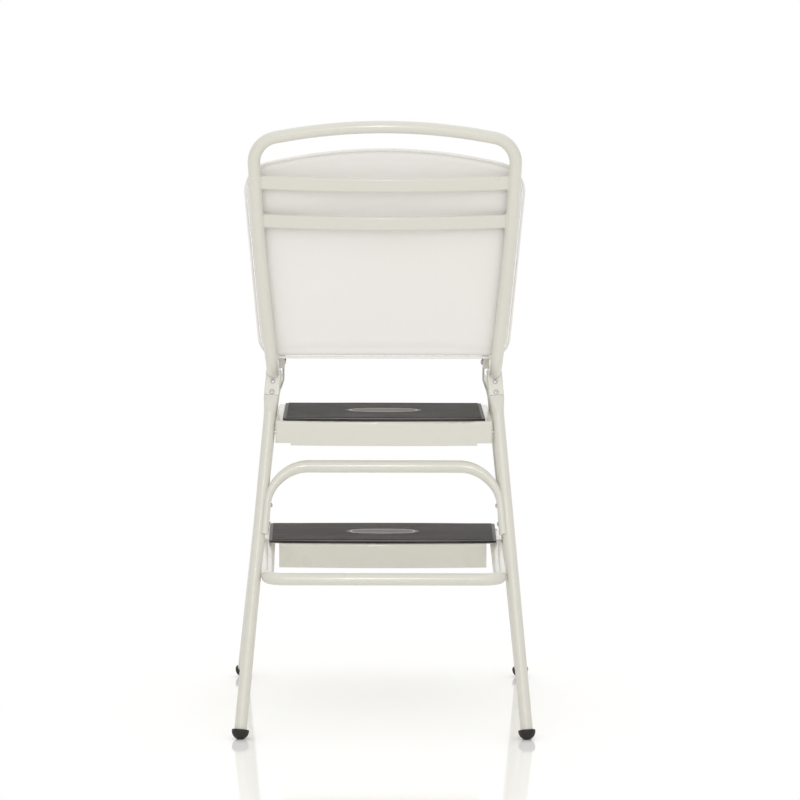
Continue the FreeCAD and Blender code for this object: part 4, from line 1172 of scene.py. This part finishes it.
def white_world():
    """Soft studio light that dims towards the sides; the camera sees it as white."""
    world = bpy.data.worlds.new("studio")
    world.use_nodes = True
    tree = world.node_tree
    back = tree.nodes["Background"]
    split = new_node(tree, "ShaderNodeSeparateXYZ")
    tree.links.new(new_node(tree, "ShaderNodeTexCoord").outputs["Generated"], split.inputs[0])
    sideways = maths(tree, "ABSOLUTE", split.outputs["X"])
    level = remap(tree, sideways, *WORLD_DIMS, WORLD_FRONT, WORLD_SIDE)
    overhead = remap(tree, split.outputs["Z"], 0.0, 1.0, 1.0, WORLD_TOP)
    light = maths(tree, "MULTIPLY", level, overhead)
    strength = tree.nodes.new("ShaderNodeMix")
    tree.links.new(light, strength.inputs["A"])
    strength.inputs["B"].default_value = WORLD_WHITE
    tree.links.new(new_node(tree, "ShaderNodeLightPath").outputs["Is Camera Ray"], strength.inputs["Factor"])
    tree.links.new(strength.outputs["Result"], back.inputs["Strength"])
    back.inputs["Color"].default_value = (1, 1, 1, 1)
    bpy.context.scene.world = world
    return world


print("world", white_world().name)

# %% Strip lamp
STRIP_PLACE = (0.0, -5.5, 2.3)
STRIP_AIM = (0.0, 0.0, 0.5)
STRIP_SIZE = (0.3, 2.0)
STRIP_POWER = 27


def strip_lamp(name, place, target, size, power):
    """Rectangular lamp turned to a target."""
    data = bpy.data.lights.new(name, "AREA")
    data.shape = "RECTANGLE"
    data.size, data.size_y = size
    data.energy = power
    lamp = bpy.data.objects.new(name, data)
    lamp.location = place
    lamp.rotation_euler = (Vector(target) - Vector(place)).to_track_quat("-Z", "Y").to_euler()
    bpy.context.scene.collection.objects.link(lamp)
    return lamp


STRIP = strip_lamp("strip", STRIP_PLACE, STRIP_AIM, STRIP_SIZE, STRIP_POWER)
print("strip lamp", STRIP.data.energy, "W")

# %% [markdown]
# ## Camera
# The photograph looks at the chair's back from about five and a half metres, a little above the
# hoop, through a long lens. A camera set by eye would come close, but place, turn, pitch and lens were
# fitted to the four feet, the hoop and the steps, so the render can be laid over the photograph.

# %% Camera
CAMERA_PLACE = Vector((-0.0322, -5.5746, 1.0522))
CAMERA_TURN = math.radians(-0.583)
CAMERA_PITCH = math.radians(6.051)
CAMERA_ROLL = math.radians(0.17)
CAMERA_LENS = 169.8
CAMERA_SENSOR = 36
CAMERA_REACH = 100


def photo_camera():
    """Camera at the photograph's place and angle."""
    data = bpy.data.cameras.new("camera")
    data.sensor_width = CAMERA_SENSOR
    data.lens = CAMERA_LENS
    data.clip_end = CAMERA_REACH
    camera = bpy.data.objects.new("camera", data)
    aim = (Matrix.Rotation(CAMERA_TURN, 3, "Z") @ Matrix.Rotation(math.pi / 2 - CAMERA_PITCH, 3, "X")
           @ Matrix.Rotation(CAMERA_ROLL, 3, "Z"))
    camera.location = CAMERA_PLACE
    camera.rotation_euler = aim.to_euler()
    bpy.context.scene.collection.objects.link(camera)
    bpy.context.scene.camera = camera
    return camera


CAMERA = photo_camera()
bpy.context.scene.view_settings.view_transform = "Standard"
print("camera", tuple(round(v, 3) for v in CAMERA.location))
